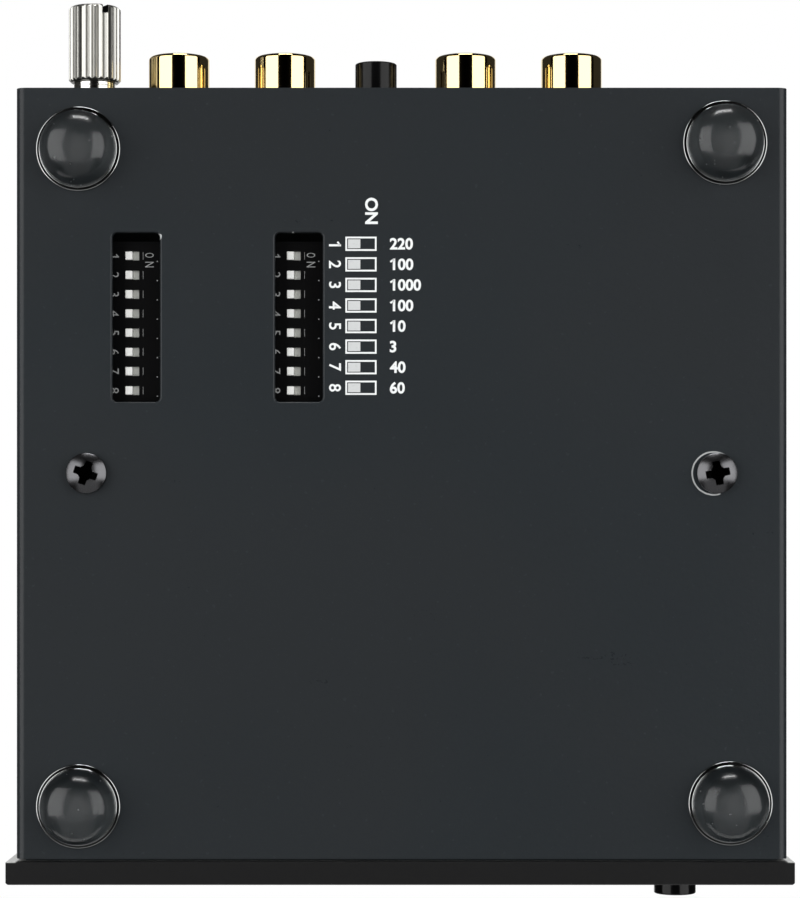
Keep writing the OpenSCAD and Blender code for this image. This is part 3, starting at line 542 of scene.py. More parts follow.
def printed_ink(name, rgb):
    """Screen-printed ink, thin in places so that the surface under it darkens it."""
    made = Finish(name, IOR=1.5)
    thin = made.step(made.noise(2600.0, 3.0, 0.7), 0.56, 0.74)
    tone = made.mix(thin * 0.35, rgb, shade(rgb, 0.55))
    made.set(Base_Color=tone, Roughness=0.45 + 0.15 * thin)
    made.set(Normal=made.bump(thin, 0.2, 0.00002))
    return made


def case_ink(colours):
    return printed_ink("case_ink", colours.ink)


def bank_ink(colours):
    return printed_ink("bank_ink", colours.bank_ink)


def box_fill_ink(colours):
    return printed_ink("box_fill_ink", shade(colours.ink, 0.72))


FINISHES = {
    maker.__name__: maker
    for maker in (
        case_coating, panel_finish, zinc_plate, dark_nickel_plate, clear_rubber, board_laminate,
        bank_plastic, lever_plastic, block_plastic, gold_plate, white_insert_plastic,
        red_insert_plastic, contact_plate, bright_nickel, tinned_metal, button_plastic,
        lamp_lens, can_sleeve, film_case, chip_plastic, resistor_lacquer, case_ink, bank_ink,
        box_fill_ink, satin_nickel,
    )
}


MADE = {}


def finish(name):
    """The material of that name, made the first time that it is asked for."""
    if name not in MADE:
        MADE[name] = FINISHES[name](bpy.context.scene.preamp_colours).material
    return MADE[name]


# ---- making and seating pieces ----

def select_only(obj):
    if bpy.context.object and bpy.context.object.mode != "OBJECT":
        bpy.ops.object.mode_set(mode="OBJECT")
    bpy.ops.object.select_all(action="DESELECT")
    obj.select_set(True)
    bpy.context.view_layer.objects.active = obj


def start(name):
    """Names the object that a primitive has just made, and opens it for editing."""
    obj = bpy.context.object
    obj.name = obj.data.name = name
    bpy.ops.object.mode_set(mode="EDIT")
    bpy.ops.mesh.select_mode(type="VERT")
    bpy.ops.mesh.select_all(action="SELECT")
    return obj


def close(obj):
    """Merges doubles, turns the faces outwards and leaves edit mode."""
    bpy.ops.mesh.select_all(action="SELECT")
    bpy.ops.mesh.remove_doubles(threshold=MERGE_WITHIN)
    bpy.ops.mesh.normals_make_consistent(inside=False)
    bpy.ops.object.mode_set(mode="OBJECT")
    return obj


def bake_place(obj, location=(0.0, 0.0, 0.0), turn=(0.0, 0.0, 0.0)):
    """Puts a piece in its place and moves that place into its mesh."""
    select_only(obj)
    obj.location = location
    obj.rotation_euler = turn
    bpy.ops.object.transform_apply(location=True, rotation=True, scale=True)
    return obj


def copy_of(obj, name):
    select_only(obj)
    bpy.ops.object.duplicate(linked=False)
    made = bpy.context.object
    made.name = made.data.name = name
    return made


def apply_modifier(obj, kind, **settings):
    select_only(obj)
    modifier = obj.modifiers.new(kind.lower(), kind)
    for key, value in settings.items():
        setattr(modifier, key, value)
    bpy.ops.object.modifier_apply(modifier=modifier.name)


def smooth(obj, degrees=32.0, weighted=True):
    select_only(obj)
    bpy.ops.object.shade_smooth_by_angle(angle=math.radians(degrees))
    if weighted:
        apply_modifier(obj, "WEIGHTED_NORMAL", keep_sharp=True)


def choose(obj, edges=None, faces=None):
    """In edit mode, selects the edges or faces that a test accepts."""
    bpy.ops.mesh.select_mode(type="EDGE" if edges else "FACE")
    bpy.ops.mesh.select_all(action="DESELECT")
    bpy.ops.object.mode_set(mode="OBJECT")
    mesh = obj.data
    if faces:
        for face in mesh.polygons:
            face.select = faces(face)
    else:
        points = mesh.vertices
        for edge in mesh.edges:
            edge.select = edges(points[edge.vertices[0]].co, points[edge.vertices[1]].co)
    bpy.ops.object.mode_set(mode="EDIT")


def paint(obj, slot, material=None):
    obj.data.materials.clear()
    obj.data.materials.append(finish(material or slot))


def hand_over(obj, slot, body="case", stands_for=(), material=None):
    """Paints a piece, sets it on its body and hides the CAD nodes that it stands for."""
    paint(obj, slot, material)
    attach(obj, body)
    if stands_for:
        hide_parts(*stands_for)


def merged_copy(node, name):
    """A copy of a CAD node with its loose triangles joined into whole faces."""
    mesh = NODES[node].data.copy()
    mesh.name = name
    obj = bpy.data.objects.new(name, mesh)
    bpy.context.scene.collection.objects.link(obj)
    select_only(obj)
    bpy.ops.object.mode_set(mode="EDIT")
    bpy.ops.mesh.select_all(action="SELECT")
    bpy.ops.mesh.remove_doubles(threshold=MERGE_WITHIN)
    bpy.ops.mesh.dissolve_limited(angle_limit=math.radians(0.4))
    bpy.ops.object.mode_set(mode="OBJECT")
    return obj


def eased_copy(node, name, width, degrees=40.0, segments=2):
    """A merged copy with its sharp edges rounded."""
    obj = merged_copy(node, name)
    apply_modifier(obj, "BEVEL", width=width, segments=segments, limit_method="ANGLE",
                   angle_limit=math.radians(degrees), use_clamp_overlap=True)
    smooth(obj)
    return obj


def turned(name, rings, sides=96):
    """A turned piece on the Z axis: a circle extruded from ring to ring, (radius, height) in mm."""
    radius, height = rings[0]
    bpy.ops.mesh.primitive_circle_add(vertices=sides, radius=radius * MM,
                                      location=(0.0, 0.0, height * MM))
    obj = start(name)
    for next_radius, next_height in rings[1:]:
        bpy.ops.mesh.extrude_region_move(
            TRANSFORM_OT_translate={"value": (0.0, 0.0, (next_height - height) * MM)})
        grow = next_radius / radius
        bpy.ops.transform.resize(value=(grow, grow, 1.0))
        radius, height = next_radius, next_height
    bpy.ops.mesh.select_all(action="SELECT")
    bpy.ops.mesh.remove_doubles(threshold=MERGE_WITHIN)
    bpy.ops.mesh.select_all(action="DESELECT")
    bpy.ops.mesh.select_mode(type="EDGE")
    bpy.ops.mesh.select_non_manifold()
    bpy.ops.mesh.fill_holes(sides=0)
    close(obj)
    return bake_place(obj, obj.location)


def arc(centre_r, centre_h, radius, from_deg, to_deg, steps):
    """Points of a rounding for a turned piece, as (radius, height) in mm."""
    angles = [from_deg + (to_deg - from_deg) * i / steps for i in range(steps + 1)]
    return [(centre_r + radius * math.cos(math.radians(a)),
             centre_h + radius * math.sin(math.radians(a))) for a in angles]


POLE_R = 0.02  # mm, of the small hole at a turned piece's pole, which turned() closes
FACING_REAR = (math.radians(-90), 0.0, 0.0)
FACING_FRONT = (math.radians(90), 0.0, 0.0)


# ---- operators: one for each piece or group of like pieces ----

class PREAMP_OT_finishes(bpy.types.Operator):
    """Give every CAD node the finish of its slot"""

    bl_idname = "preamp.finishes"
    bl_label = "Finishes"

    def execute(self, context):
        for node, obj in NODES.items():
            obj.data.materials.clear()
            obj.data.materials.append(finish(SLOT_OF[node]))
        return {"FINISHED"}


class PREAMP_OT_case(bpy.types.Operator):
    """Make the folded shells and the front panel with eased edges"""

    bl_idname = "preamp.case"
    bl_label = "Case and front panel"

    window_reach_x = 4.2 * MM
    window_reach_y = 11.9 * MM

    def execute(self, context):
        sizes = context.scene.preamp_sizes
        lower = merged_copy("lower_shell", "lower_shell_coated")
        select_only(lower)
        bpy.ops.object.mode_set(mode="EDIT")
        windows = [middle(bank + "_bank_housing")[:2] for bank in BANKS]

        def rim(a, b):
            if abs(a.z - PLATE_Z) > 1e-5 or abs(b.z - PLATE_Z) > 1e-5:
                return False
            return any(abs(p.x - x) < self.window_reach_x and abs(p.y - y) < self.window_reach_y
                       for x, y in windows for p in (a, b))

        choose(lower, edges=rim)
        bpy.ops.mesh.bevel(offset=sizes.window_edge, segments=4, profile=0.5,
                           affect="EDGES", clamp_overlap=False)
        bpy.ops.object.mode_set(mode="OBJECT")
        apply_modifier(lower, "BEVEL", width=sizes.sheet_edge, segments=2, limit_method="ANGLE",
                       angle_limit=math.radians(50), use_clamp_overlap=True)
        smooth(lower)
        hand_over(lower, "case_coating", stands_for=["lower_shell"])

        upper = eased_copy("upper_shell", "upper_shell_coated", sizes.sheet_edge, 50)
        hand_over(upper, "case_coating", stands_for=["upper_shell"])

        panel = eased_copy("front_panel", "front_panel_finished", sizes.panel_round, 25, 3)
        hand_over(panel, "panel_finish", stands_for=["front_panel"])
        return {"FINISHED"}


class PREAMP_OT_feet(bpy.types.Operator):
    """Make the four clear domed feet"""

    bl_idname = "preamp.feet"
    bl_label = "Feet"

    fullness = 2.6
    dome_steps = 30
    lip_round = 0.2
    fillet = 0.15
    sunk = 0.03

    def execute(self, context):
        sizes = context.scene.preamp_sizes
        low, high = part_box(FEET[0])
        rim_r = in_mm(high.x - low.x) / 2
        top = in_mm(high.z) + self.sunk
        dome_r = rim_r - in_mm(sizes.foot_lip)
        dome_h = in_mm(high.z) - in_mm(sizes.foot_rim)
        rings = [(POLE_R, 0.0)]
        for i in range(1, self.dome_steps + 1):
            angle = math.radians(90.0 * i / self.dome_steps)
            rings.append((dome_r * math.sin(angle) ** (2 / self.fullness),
                          dome_h * (1 - math.cos(angle) ** (2 / self.fullness))))
        lip_z = dome_h + 0.12
        rings[-1] = (dome_r + 0.01, dome_h - 0.05)
        rings += arc(dome_r + 0.17, lip_z - self.fillet, self.fillet, 165, 90, 5)
        rings += arc(rim_r - self.lip_round, lip_z + self.lip_round, self.lip_round, -90, 0, 8)
        rings += [(rim_r, top - 0.03), (rim_r - 0.03, top), (POLE_R, top)]
        foot = turned("foot_pattern", rings, 96)
        smooth(foot, 40, weighted=False)
        for node in FEET:
            centre_at = middle(node)
            made = copy_of(foot, node + "_bumper")
            bake_place(made, (centre_at.x, centre_at.y, 0.0))
            hand_over(made, "clear_rubber", stands_for=[node])
        bpy.data.objects.remove(foot)
        return {"FINISHED"}


class PREAMP_OT_case_screws(bpy.types.Operator):
    """Make the two dark screws with their cross recesses"""

    bl_idname = "preamp.case_screws"
    bl_label = "Case screws"

    turns = (-10.0, 20.0)
    shank_r = 1.45
    recess_deep = 1.4
    recess_core_r = 1.05
    recess_arm_wide = 1.08

    def execute(self, context):
        sizes = context.scene.preamp_sizes
        low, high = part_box("case_screws")
        head_r = in_mm(high.y - low.y) / 2
        head_h = in_mm(PLATE_Z - low.z)
        shank = in_mm(high.z - PLATE_Z)
        rim_h = 0.5 * head_h
        crown_h = head_h - rim_h
        crown_r = (head_r ** 2 + crown_h ** 2) / (2 * crown_h)
        edge = math.degrees(math.asin((head_r - 0.07) / crown_r))
        rings = [(POLE_R, -head_h)]
        rings += arc(0.0, crown_r - head_h, crown_r, -90 + 3, -90 + edge, 14)
        rings += [(head_r - 0.03, -rim_h - 0.02), (head_r, -rim_h + 0.12), (head_r, -0.1)]
        rings += [(head_r - 0.08, 0.0), (self.shank_r, 0.0), (self.shank_r, shank - 0.3)]
        rings += [(self.shank_r - 0.3, shank), (POLE_R, shank)]
        screw = turned("screw_pattern", rings, 96)
        cutter = self.recess_cutter(sizes, head_h)
        apply_modifier(screw, "BOOLEAN", operation="DIFFERENCE", object=cutter, solver="EXACT")
        bpy.data.objects.remove(cutter)
        apply_modifier(screw, "BEVEL", width=0.06 * MM, segments=2, limit_method="ANGLE",
                       angle_limit=math.radians(50), use_clamp_overlap=True)
        smooth(screw, 35)
        for side, turn in zip((-1, 1), self.turns):
            made = copy_of(screw, "case_screw_left" if side < 0 else "case_screw_right")
            centre = middle("case_screws")
            reach = (high.x - low.x) / 2 - head_r * MM
            bake_place(made, (centre.x + side * reach, centre.y, PLATE_Z),
                       (0.0, 0.0, math.radians(turn)))
            hand_over(made, "dark_nickel_plate", stands_for=["case_screws"])
        bpy.data.objects.remove(screw)
        return {"FINISHED"}

    def recess_cutter(self, sizes, head_h):
        """A cross that narrows inwards, with a round core at its middle."""
        depth = self.recess_deep
        place = (0.0, 0.0, (depth / 2 - 0.05 - head_h) * MM)
        bpy.ops.mesh.primitive_cone_add(vertices=32, radius1=self.recess_core_r * MM,
                                        radius2=0.45 * MM, depth=depth * MM)
        core = close(start("recess_core"))
        bake_place(core, place)
        for turn in (0.0, 90.0):
            bpy.ops.mesh.primitive_cube_add(size=1.0)
            arm = start("recess_arm")
            bpy.ops.transform.resize(value=(1.15 * sizes.screw_recess, self.recess_arm_wide * MM,
                                            depth * MM))
            choose(arm, faces=lambda face: face.normal.z > 0.9)
            bpy.ops.transform.resize(value=(0.45, 0.62, 1.0))
            bpy.ops.object.mode_set(mode="OBJECT")
            bake_place(arm, place, (0.0, 0.0, math.radians(turn)))
            apply_modifier(core, "BOOLEAN", operation="UNION", object=arm, solver="EXACT")
            bpy.data.objects.remove(arm)
        return core


class PREAMP_OT_lever_banks(bpy.types.Operator):
    """Make the lever banks, their levers and the marks printed on them"""

    bl_idname = "preamp.lever_banks"
    bl_label = "Lever banks"

    digit_cap, digits_x = 1.2, 2.35
    line, lines_x = (0.05, 1.0), -1.45
    dot, dot_at = (0.15, 0.15), (-3.32, -0.74)
    word, word_cap, word_x = (("O", 0.07, 0.50), ("N", -1.16, 0.67)), 1.15, -2.29

    def execute(self, context):
        lever = eased_copy("outer_bank_lever_1", "lever_pattern", 0.1 * MM, 40, 3)
        home = middle("outer_bank_lever_1")
        for bank in BANKS:
            housing = eased_copy(bank + "_bank_housing", bank + "_bank_moulding", 0.05 * MM)
            hand_over(housing, "bank_plastic", stands_for=[bank + "_bank_housing"])
            for i in range(1, 9):
                node = f"{bank}_bank_lever_{i}"
                made = copy_of(lever, f"{bank}_lever_{i}_moulding")
                bake_place(made, middle(node) - home)
                hand_over(made, "lever_plastic", node, [node])
            self.bank_print(bank)
        bpy.data.objects.remove(lever)
        return {"FINISHED"}

    def bank_print(self, bank):
        """Digits, lines, dots and ON, at distances in mm from the bank's middle and its levers."""
        centre = middle(bank + "_bank_housing")
        first_y = middle(f"{bank}_bank_lever_1").y
        marks = []

        def at(across, along, lever_y):
            return (centre.x + across * MM, lever_y + along * MM)

        for i in range(1, 9):
            y = middle(f"{bank}_bank_lever_{i}").y
            marks.append(lettering(str(i), self.digit_cap, at(self.digits_x, 0.0, y), BANK_FACE_Z,
                                   True, weight=0.0))
            marks.append(flat_mark(at(self.lines_x, 0.0, y), *self.line, BANK_FACE_Z))
            marks.append(flat_mark(at(*self.dot_at, y), *self.dot, BANK_FACE_Z))
        for letter, along, narrow in self.word:
            marks.append(lettering(letter, self.word_cap, at(self.word_x, along, first_y),
                                   BANK_FACE_Z, True, weight=0.0, narrow=narrow))
        hand_over(joined(marks, bank + "_bank_marks"), "bank_plastic", material="bank_ink")


def flat_mark(place, width, depth, surface_z, line=0.0):
    """A printed bar on a downward face, or a box of that line, its sizes in mm."""
    height = bpy.context.scene.preamp_sizes.print_height
    bpy.ops.mesh.primitive_plane_add(size=1.0, location=(*place, surface_z))
    obj = start("printed_bar")
    bpy.ops.transform.resize(value=(width * MM, depth * MM, 1.0))
    if line:
        bpy.ops.mesh.inset(thickness=line * MM, depth=0.0)
        bpy.ops.mesh.delete(type="FACE")
        bpy.ops.mesh.select_all(action="SELECT")
    bpy.ops.transform.translate(value=(0.0, 0.0, 0.25 * height))
    bpy.ops.mesh.extrude_region_move(TRANSFORM_OT_translate={"value": (0.0, 0.0, -height)})
    close(obj)
    return bake_place(obj, obj.location)


def lettering(words, cap_mm, place, surface_z, quarter_turn, start_here=False, weight=0.30,
              narrow=1.0):
    """Printed words on a downward face, read from below; place is their middle or their start."""
    height = bpy.context.scene.preamp_sizes.print_height
    bpy.ops.object.text_add()
    obj = bpy.context.object
    obj.data.body = words
    obj.data.size = 10 * MM
    obj.data.offset = weight * MM
    obj.data.resolution_u = 4
    obj.data.extrude = 0.1 * MM
    bpy.ops.object.convert(target="MESH")
    obj = bpy.context.object
    if words.startswith("1"):
        obj = with_flag(obj, weight)
    low, high = corners(obj)
    middle_at = (low + high) / 2
    scale = cap_mm * MM / (high.y - low.y)
    pull = low.x if start_here else middle_at.x
    obj.data.transform(Matrix.Translation((-pull, -middle_at.y, 0.0)))
    obj.scale = (scale * narrow, scale, height / (high.z - low.z))
    bpy.ops.object.transform_apply(location=False, rotation=False, scale=True)
    flip = Matrix.Rotation(math.pi, 4, "Y")
    if quarter_turn:
        flip = Matrix(((0, -1, 0, 0), (-1, 0, 0, 0), (0, 0, -1, 0), (0, 0, 0, 1)))
    obj.matrix_world = Matrix.Translation((place[0], place[1], surface_z - 0.25 * height)) @ flip
    bpy.ops.object.transform_apply(location=True, rotation=True, scale=True)
    return obj


def with_flag(obj, weight):
    """Adds the slanted flag to a 1 at the start of some lettering."""
    low, high = corners(obj)
    tall = high.y - low.y
    long, thick, slant = 0.36 * tall, 0.12 * tall + weight * MM, math.radians(36)
    bpy.ops.mesh.primitive_cube_add(size=1.0)
    flag = start("flag_of_one")
    bpy.ops.transform.resize(value=(long, thick, high.z - low.z))
    close(flag)
    bake_place(flag, (low.x - 0.06 * tall, high.y - 0.19 * tall, (low.z + high.z) / 2),
               (0.0, 0.0, slant))
    return joined([obj, flag], obj.name)


def corners(obj):
    points = [v.co for v in obj.data.vertices]
    low = Vector([min(p[i] for p in points) for i in range(3)])
    high = Vector([max(p[i] for p in points) for i in range(3)])
    return low, high


def joined(pieces, name):
    select_only(pieces[0])
    for piece in pieces:
        piece.select_set(True)
    bpy.ops.object.join()
    obj = bpy.context.object
    obj.name = obj.data.name = name
    return obj


class PREAMP_OT_case_print(bpy.types.Operator):
    """Print the switch boxes, numbers and ON on the underside"""

    bl_idname = "preamp.case_print"
    bl_label = "Print on the case"

    numbers = ("220", "100", "1000", "100", "10", "3", "40", "60")
    head_y, first_y, pitch = 16.115, 20.42, 2.69  # mm, forward of the case's rear edge
    head_x, digits_x, numbers_x, boxes_x, fills_x = 3.950, 8.724, 1.556, 5.323, 6.215
    head_cap, digit_cap, number_cap = 1.70, 1.57, 1.543
    fill = (1.61, 1.18)

    def execute(self, context):
        sizes = context.scene.preamp_sizes
        box = (in_mm(sizes.box_long), in_mm(sizes.box_wide), PLATE_Z, in_mm(sizes.box_line))
        marks = [lettering("ON", self.head_cap, self.at(self.head_x, self.head_y), PLATE_Z, True)]
        fills = []
        for i, number in enumerate(self.numbers):
            y = self.first_y + i * self.pitch
            marks.append(lettering(str(i + 1), self.digit_cap, self.at(self.digits_x, y), PLATE_Z,
                                   True, weight=0.14))
            marks.append(lettering(number, self.number_cap, self.at(self.numbers_x, y), PLATE_Z,
                                   False, True))
            marks.append(flat_mark(self.at(self.boxes_x, y), *box))
            fills.append(flat_mark(self.at(self.fills_x, y), *self.fill, PLATE_Z))
        hand_over(joined(marks, "case_marks"), "case_coating", material="case_ink")
        hand_over(joined(fills, "case_mark_fills"), "case_coating", material="box_fill_ink")
        return {"FINISHED"}

    def at(self, x_mm, forward_mm):
        return (x_mm * MM, CASE_BACK_Y - forward_mm * MM)


class PREAMP_OT_sockets(bpy.types.Operator):
    """Make the gold socket barrels and their inserts"""

    bl_idname = "preamp.sockets"
    bl_label = "Signal sockets"

    wall = 1.0
    contact_space_r = 2.12

    def execute(self, context):
        sizes = context.scene.preamp_sizes
        low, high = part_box(BARRELS[0])
        back = in_mm(low.y)
        end = in_mm(high.y)
        wall_out = in_mm(CASE_BACK_Y)
        wall_in = wall_out - self.wall
        bore = in_mm(sizes.barrel_bore) / 2
        outer = in_mm(sizes.barrel_wide) / 2
        shoulder = outer + 0.35
        tail = outer - 0.2
        flange = in_mm(high.x - low.x) / 2
        rim = in_mm(sizes.barrel_round)
        lip = outer - bore - rim - 0.02
        edge = 0.08
        rings = [(bore, back), (tail - 0.1, back), (tail, back + 0.1), (tail, wall_in - 0.8)]
        rings += [(flange - edge, wall_in - 0.8), (flange, wall_in - 0.7), (flange, wall_in - edge)]
        rings += [(flange - edge, wall_in), (shoulder, wall_in), (shoulder, wall_out - edge)]
        rings += [(shoulder - edge, wall_out), (outer, wall_out)]
        rings += arc(outer - rim, end - rim, rim, 0, 90, 10)
        rings += arc(bore + lip, end - lip, lip, 90, 180, 6)
        rings += [(bore, back)]
        barrel = turned("barrel_pattern", rings, 96)
        smooth(barrel, 35)
        for node in BARRELS:
            made = copy_of(barrel, node + "_turned")
            place = middle(node)
            bake_place(made, (place.x, 0.0, place.z), FACING_REAR)
            hand_over(made, "gold_plate", stands_for=[node])
        bpy.data.objects.remove(barrel)
        self.inserts(sizes, bore)
        return {"FINISHED"}

    def inserts(self, sizes, bore):
        low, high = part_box("white_inserts")
        back = in_mm(low.y)
        face = in_mm(high.y)
        mouth = in_mm(sizes.bore_mouth) / 2
        outer = bore - 0.02
        rings = [(outer, back), (outer, face - 0.15), (outer - 0.15, face), (mouth + 0.35, face)]
        rings += [(mouth + 0.12, face - 0.12), (mouth, face - 0.4), (mouth, face - 1.0)]
        rings += [(self.contact_space_r, face - 1.0), (self.contact_space_r, back), (outer, back)]
        insert = turned("insert_pattern", rings, 72)
        smooth(insert, 35)
        for node in BARRELS:
            side = "red" if "far" in node else "white"
            made = copy_of(insert, node.replace("_barrel", "_insert"))
            place = middle(node)
            bake_place(made, (place.x, 0.0, place.z), FACING_REAR)
            hand_over(made, side + "_insert_plastic", stands_for=[side + "_inserts"])
        bpy.data.objects.remove(insert)


class PREAMP_OT_ground_terminal(bpy.types.Operator):
    """Make the neck, washer and knurled thumbscrew of the ground terminal"""

    bl_idname = "preamp.ground_terminal"
    bl_label = "Ground terminal"

    def execute(self, context):
        for node, made_as, body, degrees, material in (
            ("ground_bush", "turned", "case", 40, "bright_nickel"),
            ("ground_washer", "pressed", "ground_washer", 40, "bright_nickel"),
            ("ground_thumbscrew", "knurled", "ground_thumbscrew", 28, "satin_nickel"),
        ):
            piece = eased_copy(node, f"{node}_{made_as}", 0.03 * MM, degrees)
            hand_over(piece, "bright_nickel", body, [node], material)
        return {"FINISHED"}


class PREAMP_OT_buttons(bpy.types.Operator):
    """Make the two round push buttons"""

    bl_idname = "preamp.buttons"
    bl_label = "Push buttons"

    stem_wide = 3.6

    def execute(self, context):
        edge = in_mm(context.scene.preamp_sizes.button_round)
        for node, facing, cap_l in (("power_button", FACING_FRONT, 8.7),
                                    ("filter_button", FACING_REAR, 8.4)):
            low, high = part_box(node)
            radius = in_mm(high.x - low.x) / 2
            stem_l = in_mm(high.y - low.y) - cap_l
            rings = [(POLE_R, -cap_l), (radius - 0.1, -cap_l), (radius, 0.1 - cap_l)]
            rings += arc(radius - edge, -edge, edge, 0, 90, 6) + [(POLE_R, 0.0)]
            cap = turned(node + "_cap", rings, 96)
            corner = self.stem_wide / math.sqrt(2)
            stem = turned("button_stem", [(corner, -cap_l - stem_l), (corner, 1.0 - cap_l)], 4)
            bake_place(stem, turn=(0.0, 0.0, math.radians(45)))
            apply_modifier(cap, "BOOLEAN", operation="UNION", object=stem, solver="EXACT")
            bpy.data.objects.remove(stem)
            smooth(cap, 35)
            centre = middle(node)
            end = low.y if facing is FACING_FRONT else high.y
            bake_place(cap, (centre.x, end, centre.z), facing)
            hand_over(cap, "button_plastic", node, [node])
        return {"FINISHED"}


class PREAMP_OT_inlet_and_lamp(bpy.types.Operator):
    """Make the power inlet and the power lamp"""

    bl_idname = "preamp.inlet_and_lamp"
    bl_label = "Power inlet and lamp"

    def execute(self, context):
        body = eased_copy("inlet_body", "inlet_moulding", 0.12 * MM)
        hand_over(body, "block_plastic", stands_for=["inlet_body"])
        lamp = merged_copy("power_lamp", "power_lamp_lens")
        smooth(lamp, 40)
        hand_over(lamp, "lamp_lens", stands_for=["power_lamp"])
        return {"FINISHED"}


def lamp(name, energy, size, place):
    """A softbox turned towards the object, that the camera doesn't see."""
    data = bpy.data.lights.new(name, "AREA")
    data.shape = "RECTANGLE"
    data.size, data.size_y = size
    data.energy = energy
    obj = bpy.data.objects.new(name, data)
    bpy.context.scene.collection.objects.link(obj)
    obj.location = place
    obj.rotation_euler = (-Vector(place)).to_track_quat("-Z", "Y").to_euler()
    obj.visible_camera = False
    return obj


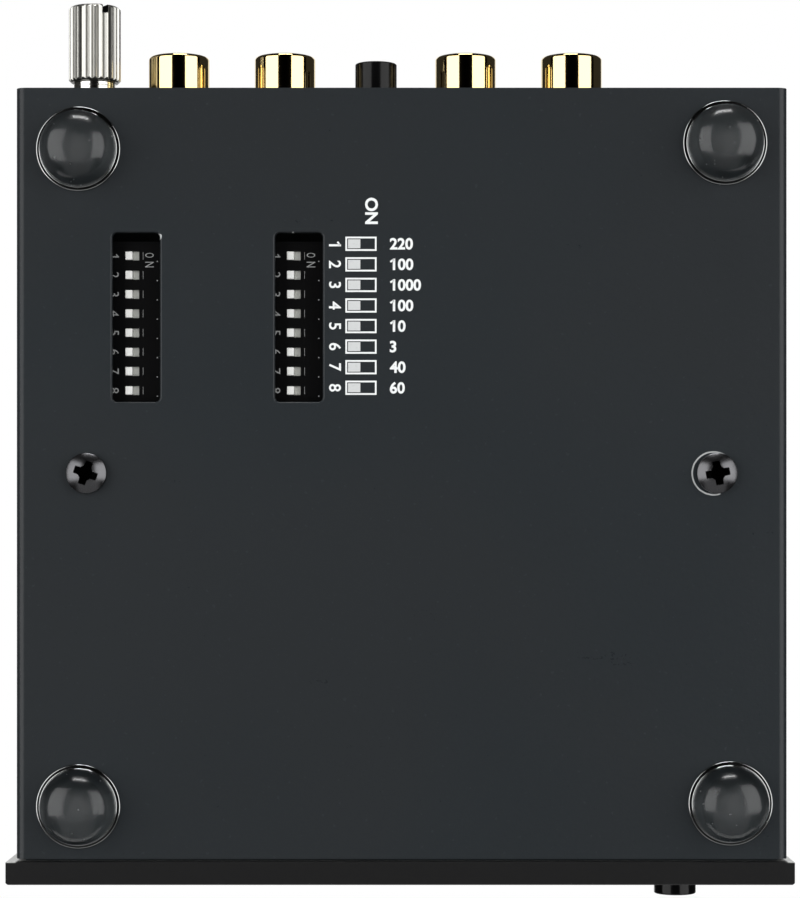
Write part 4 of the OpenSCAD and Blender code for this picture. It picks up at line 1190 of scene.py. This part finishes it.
class PREAMP_OT_stage(bpy.types.Operator):
    """Set the floor, the softboxes, the background and the camera"""

    bl_idname = "preamp.stage"
    bl_label = "Stage"

    floor_size = 8.0
    floor_fades = (0.25, 0.85)
    room_reach = 1.6
    room_depth = 1.0
    screen_height = 2.8
    softbox_side = math.radians(52.0)
    softbox_away = 0.62
    camera_below = 345.0 * MM
    camera_right = 0.222 * MM
    camera_forward = 60.065 * MM

    def execute(self, context):
        self.floor()
        self.dark_room()
        self.lamps()
        self.background()
        self.camera()
        return {"FINISHED"}

    def flat(self, name, size, place, turn=(0.0, 0.0, 0.0)):
        bpy.ops.object.select_all(action="DESELECT")
        bpy.ops.mesh.primitive_plane_add(size=1.0, location=place, rotation=turn)
        obj = bpy.context.object
        obj.name = name
        obj.scale = (*size, 1.0)
        return obj

    def floor(self):
        """A pale floor, clear from below, that fades into the white background around it."""
        obj = self.flat("floor", (self.floor_size, self.floor_size), (0.0, 0.0, -0.02 * MM))
        made = Finish("pale_floor", Base_Color=(0.80, 0.80, 0.79), Roughness=0.7)
        away = made.node("ShaderNodeVectorMath", {"operation": "LENGTH"}, {0: made.place}, "Value")
        fade = made.step(away, *(reach / self.floor_size for reach in self.floor_fades))
        below = made.node("ShaderNodeNewGeometry", {}, {}, "Backfacing")
        clear = made.node("ShaderNodeBsdfTransparent", {}, {})
        made.blend_shaders(fade.math("MAXIMUM", below), made.shader, clear)
        obj.data.materials.append(made.material)
        obj.visible_diffuse = False
        obj.visible_glossy = False
        obj.visible_transmission = False
        obj.visible_shadow = False

    def dark_room(self):
        """Dark cards all round below the floor, and screens above it that only gloss shows."""
        upright = math.radians(90)
        span = 2 * self.room_reach
        self.card("card_below", (span, span), (0.0, 0.0, -self.room_depth))
        for name, x, y in (("left", -1, 0), ("right", 1, 0), ("front", 0, -1), ("back", 0, 1)):
            turn = (0.0, upright, 0.0) if x else (upright, 0.0, 0.0)
            for kind, tall, side, level in (("card", self.room_depth, -1, 0.0),
                                            ("screen", self.screen_height, 1, 0.03)):
                if (kind, name) == ("screen", "front"):
                    continue
                size = (tall, span) if x else (span, tall)
                place = (x * self.room_reach, y * self.room_reach, side * tall / 2)
                self.card(f"{kind}_{name}", size, place, turn, level)
        self.card("front_reflector", (1.6, 1.48), (0.0, -0.95, -0.62),
                  (math.radians(-32.6), 0.0, 0.0), 0.4)

    def card(self, name, size, place, turn=(0.0, 0.0, 0.0), level=0.0):
        """A card that shines evenly at that level; a lit one is seen in gloss alone."""
        obj = self.flat(name, size, place, turn)
        material = bpy.data.materials.new(name)
        material.use_nodes = True
        material.cycles.emission_sampling = "NONE"
        made = Wiring(material.node_tree, "ShaderNodeOutputMaterial")
        glow = made.node("ShaderNodeEmission", {}, {"Color": WHITE, "Strength": level})
        made.feed(made.surface, glow)
        obj.data.materials.append(material)
        obj.visible_camera = False
        if level:
            obj.visible_diffuse = False
            obj.visible_transmission = False
            obj.visible_shadow = False

    def lamps(self):
        for name, side in (("softbox_left", -1), ("softbox_right", 1)):
            across = side * self.softbox_side
            place = (math.sin(across) * self.softbox_away, 0.12,
                     -math.cos(across) * self.softbox_away)
            lamp(name, 3.3, (0.60, 0.70), place).rotation_euler = (0.0, math.pi - across, 0.0)
        lamp("rear_strip", 1.5, (0.30, 0.15), (0.0, 0.61, -0.055))
        for name, energy, size, place in (
            ("fill_below", 2.3, (0.55, 0.55), (0.0, 0.0, -0.70)),
            ("top_left", 7.0, (0.7, 0.7), (-0.8, -0.55, 0.9)),
            ("top_right", 6.0, (0.7, 0.7), (0.85, -0.2, 0.8)),
            ("top_back", 5.0, (0.8, 0.5), (-0.2, 0.95, 0.75)),
        ):
            lamp(name, energy, size, place).visible_glossy = False

    def background(self):
        """White where the camera, metal and glass look, and a low fill for everything else."""
        world = bpy.data.worlds.new("studio")
        bpy.context.scene.world = world
        world.use_nodes = True
        made = Wiring(world.node_tree, "ShaderNodeOutputWorld")
        camera, gloss, glass = (
            made.node("ShaderNodeLightPath", {}, {}, f"Is {kind} Ray")
            for kind in ("Camera", "Glossy", "Transmission")
        )
        fill, white = (
            made.node("ShaderNodeBackground", {}, {"Color": WHITE, "Strength": level})
            for level in (0.25, 1.0)
        )
        seen = gloss.math("MAXIMUM", glass).math("MAXIMUM", camera)
        made.blend_shaders(seen, fill, white)

    def camera(self):
        data = bpy.data.cameras.new("camera")
        data.sensor_width = 36.0
        data.sensor_fit = "AUTO"
        data.lens = 107.27
        data.shift_y = 0.109
        data.clip_start = 0.01
        data.clip_end = 50.0
        obj = bpy.data.objects.new("camera", data)
        bpy.context.scene.collection.objects.link(obj)
        obj.location = (self.camera_right, CASE_BACK_Y - self.camera_forward, -self.camera_below)
        obj.rotation_euler = (0.0, math.pi, 0.0)
        bpy.context.scene.camera = obj
        bpy.context.scene.view_settings.view_transform = "Standard"


OPERATORS = (
    PREAMP_OT_finishes, PREAMP_OT_case, PREAMP_OT_feet, PREAMP_OT_case_screws,
    PREAMP_OT_lever_banks, PREAMP_OT_case_print, PREAMP_OT_sockets, PREAMP_OT_ground_terminal,
    PREAMP_OT_buttons, PREAMP_OT_inlet_and_lamp, PREAMP_OT_stage,
)


class PREAMP_PT_sidebar(bpy.types.Panel):
    """The pieces of the preamp, in the order in which they are made"""

    bl_idname = "PREAMP_PT_sidebar"
    bl_label = "Phono preamp"
    bl_space_type = "VIEW_3D"
    bl_region_type = "UI"
    bl_category = "Preamp"

    def draw(self, context):
        for group in (context.scene.preamp_sizes, context.scene.preamp_colours):
            column = self.layout.column()
            for name in group.__annotations__:
                column.prop(group, name)
        for operator in OPERATORS:
            self.layout.operator(operator.bl_idname)


CLASSES = (PreampSizes, PreampColours, *OPERATORS, PREAMP_PT_sidebar)


def register():
    for cls in CLASSES:
        bpy.utils.register_class(cls)
    bpy.types.Scene.preamp_sizes = bpy.props.PointerProperty(type=PreampSizes)
    bpy.types.Scene.preamp_colours = bpy.props.PointerProperty(type=PreampColours)


def unregister():
    del bpy.types.Scene.preamp_colours
    del bpy.types.Scene.preamp_sizes
    for cls in reversed(CLASSES):
        bpy.utils.unregister_class(cls)


def main():
    register()
    for operator in OPERATORS:
        group, name = operator.bl_idname.split(".")
        getattr(getattr(bpy.ops, group), name)()


if __name__ == "__main__":
    main()
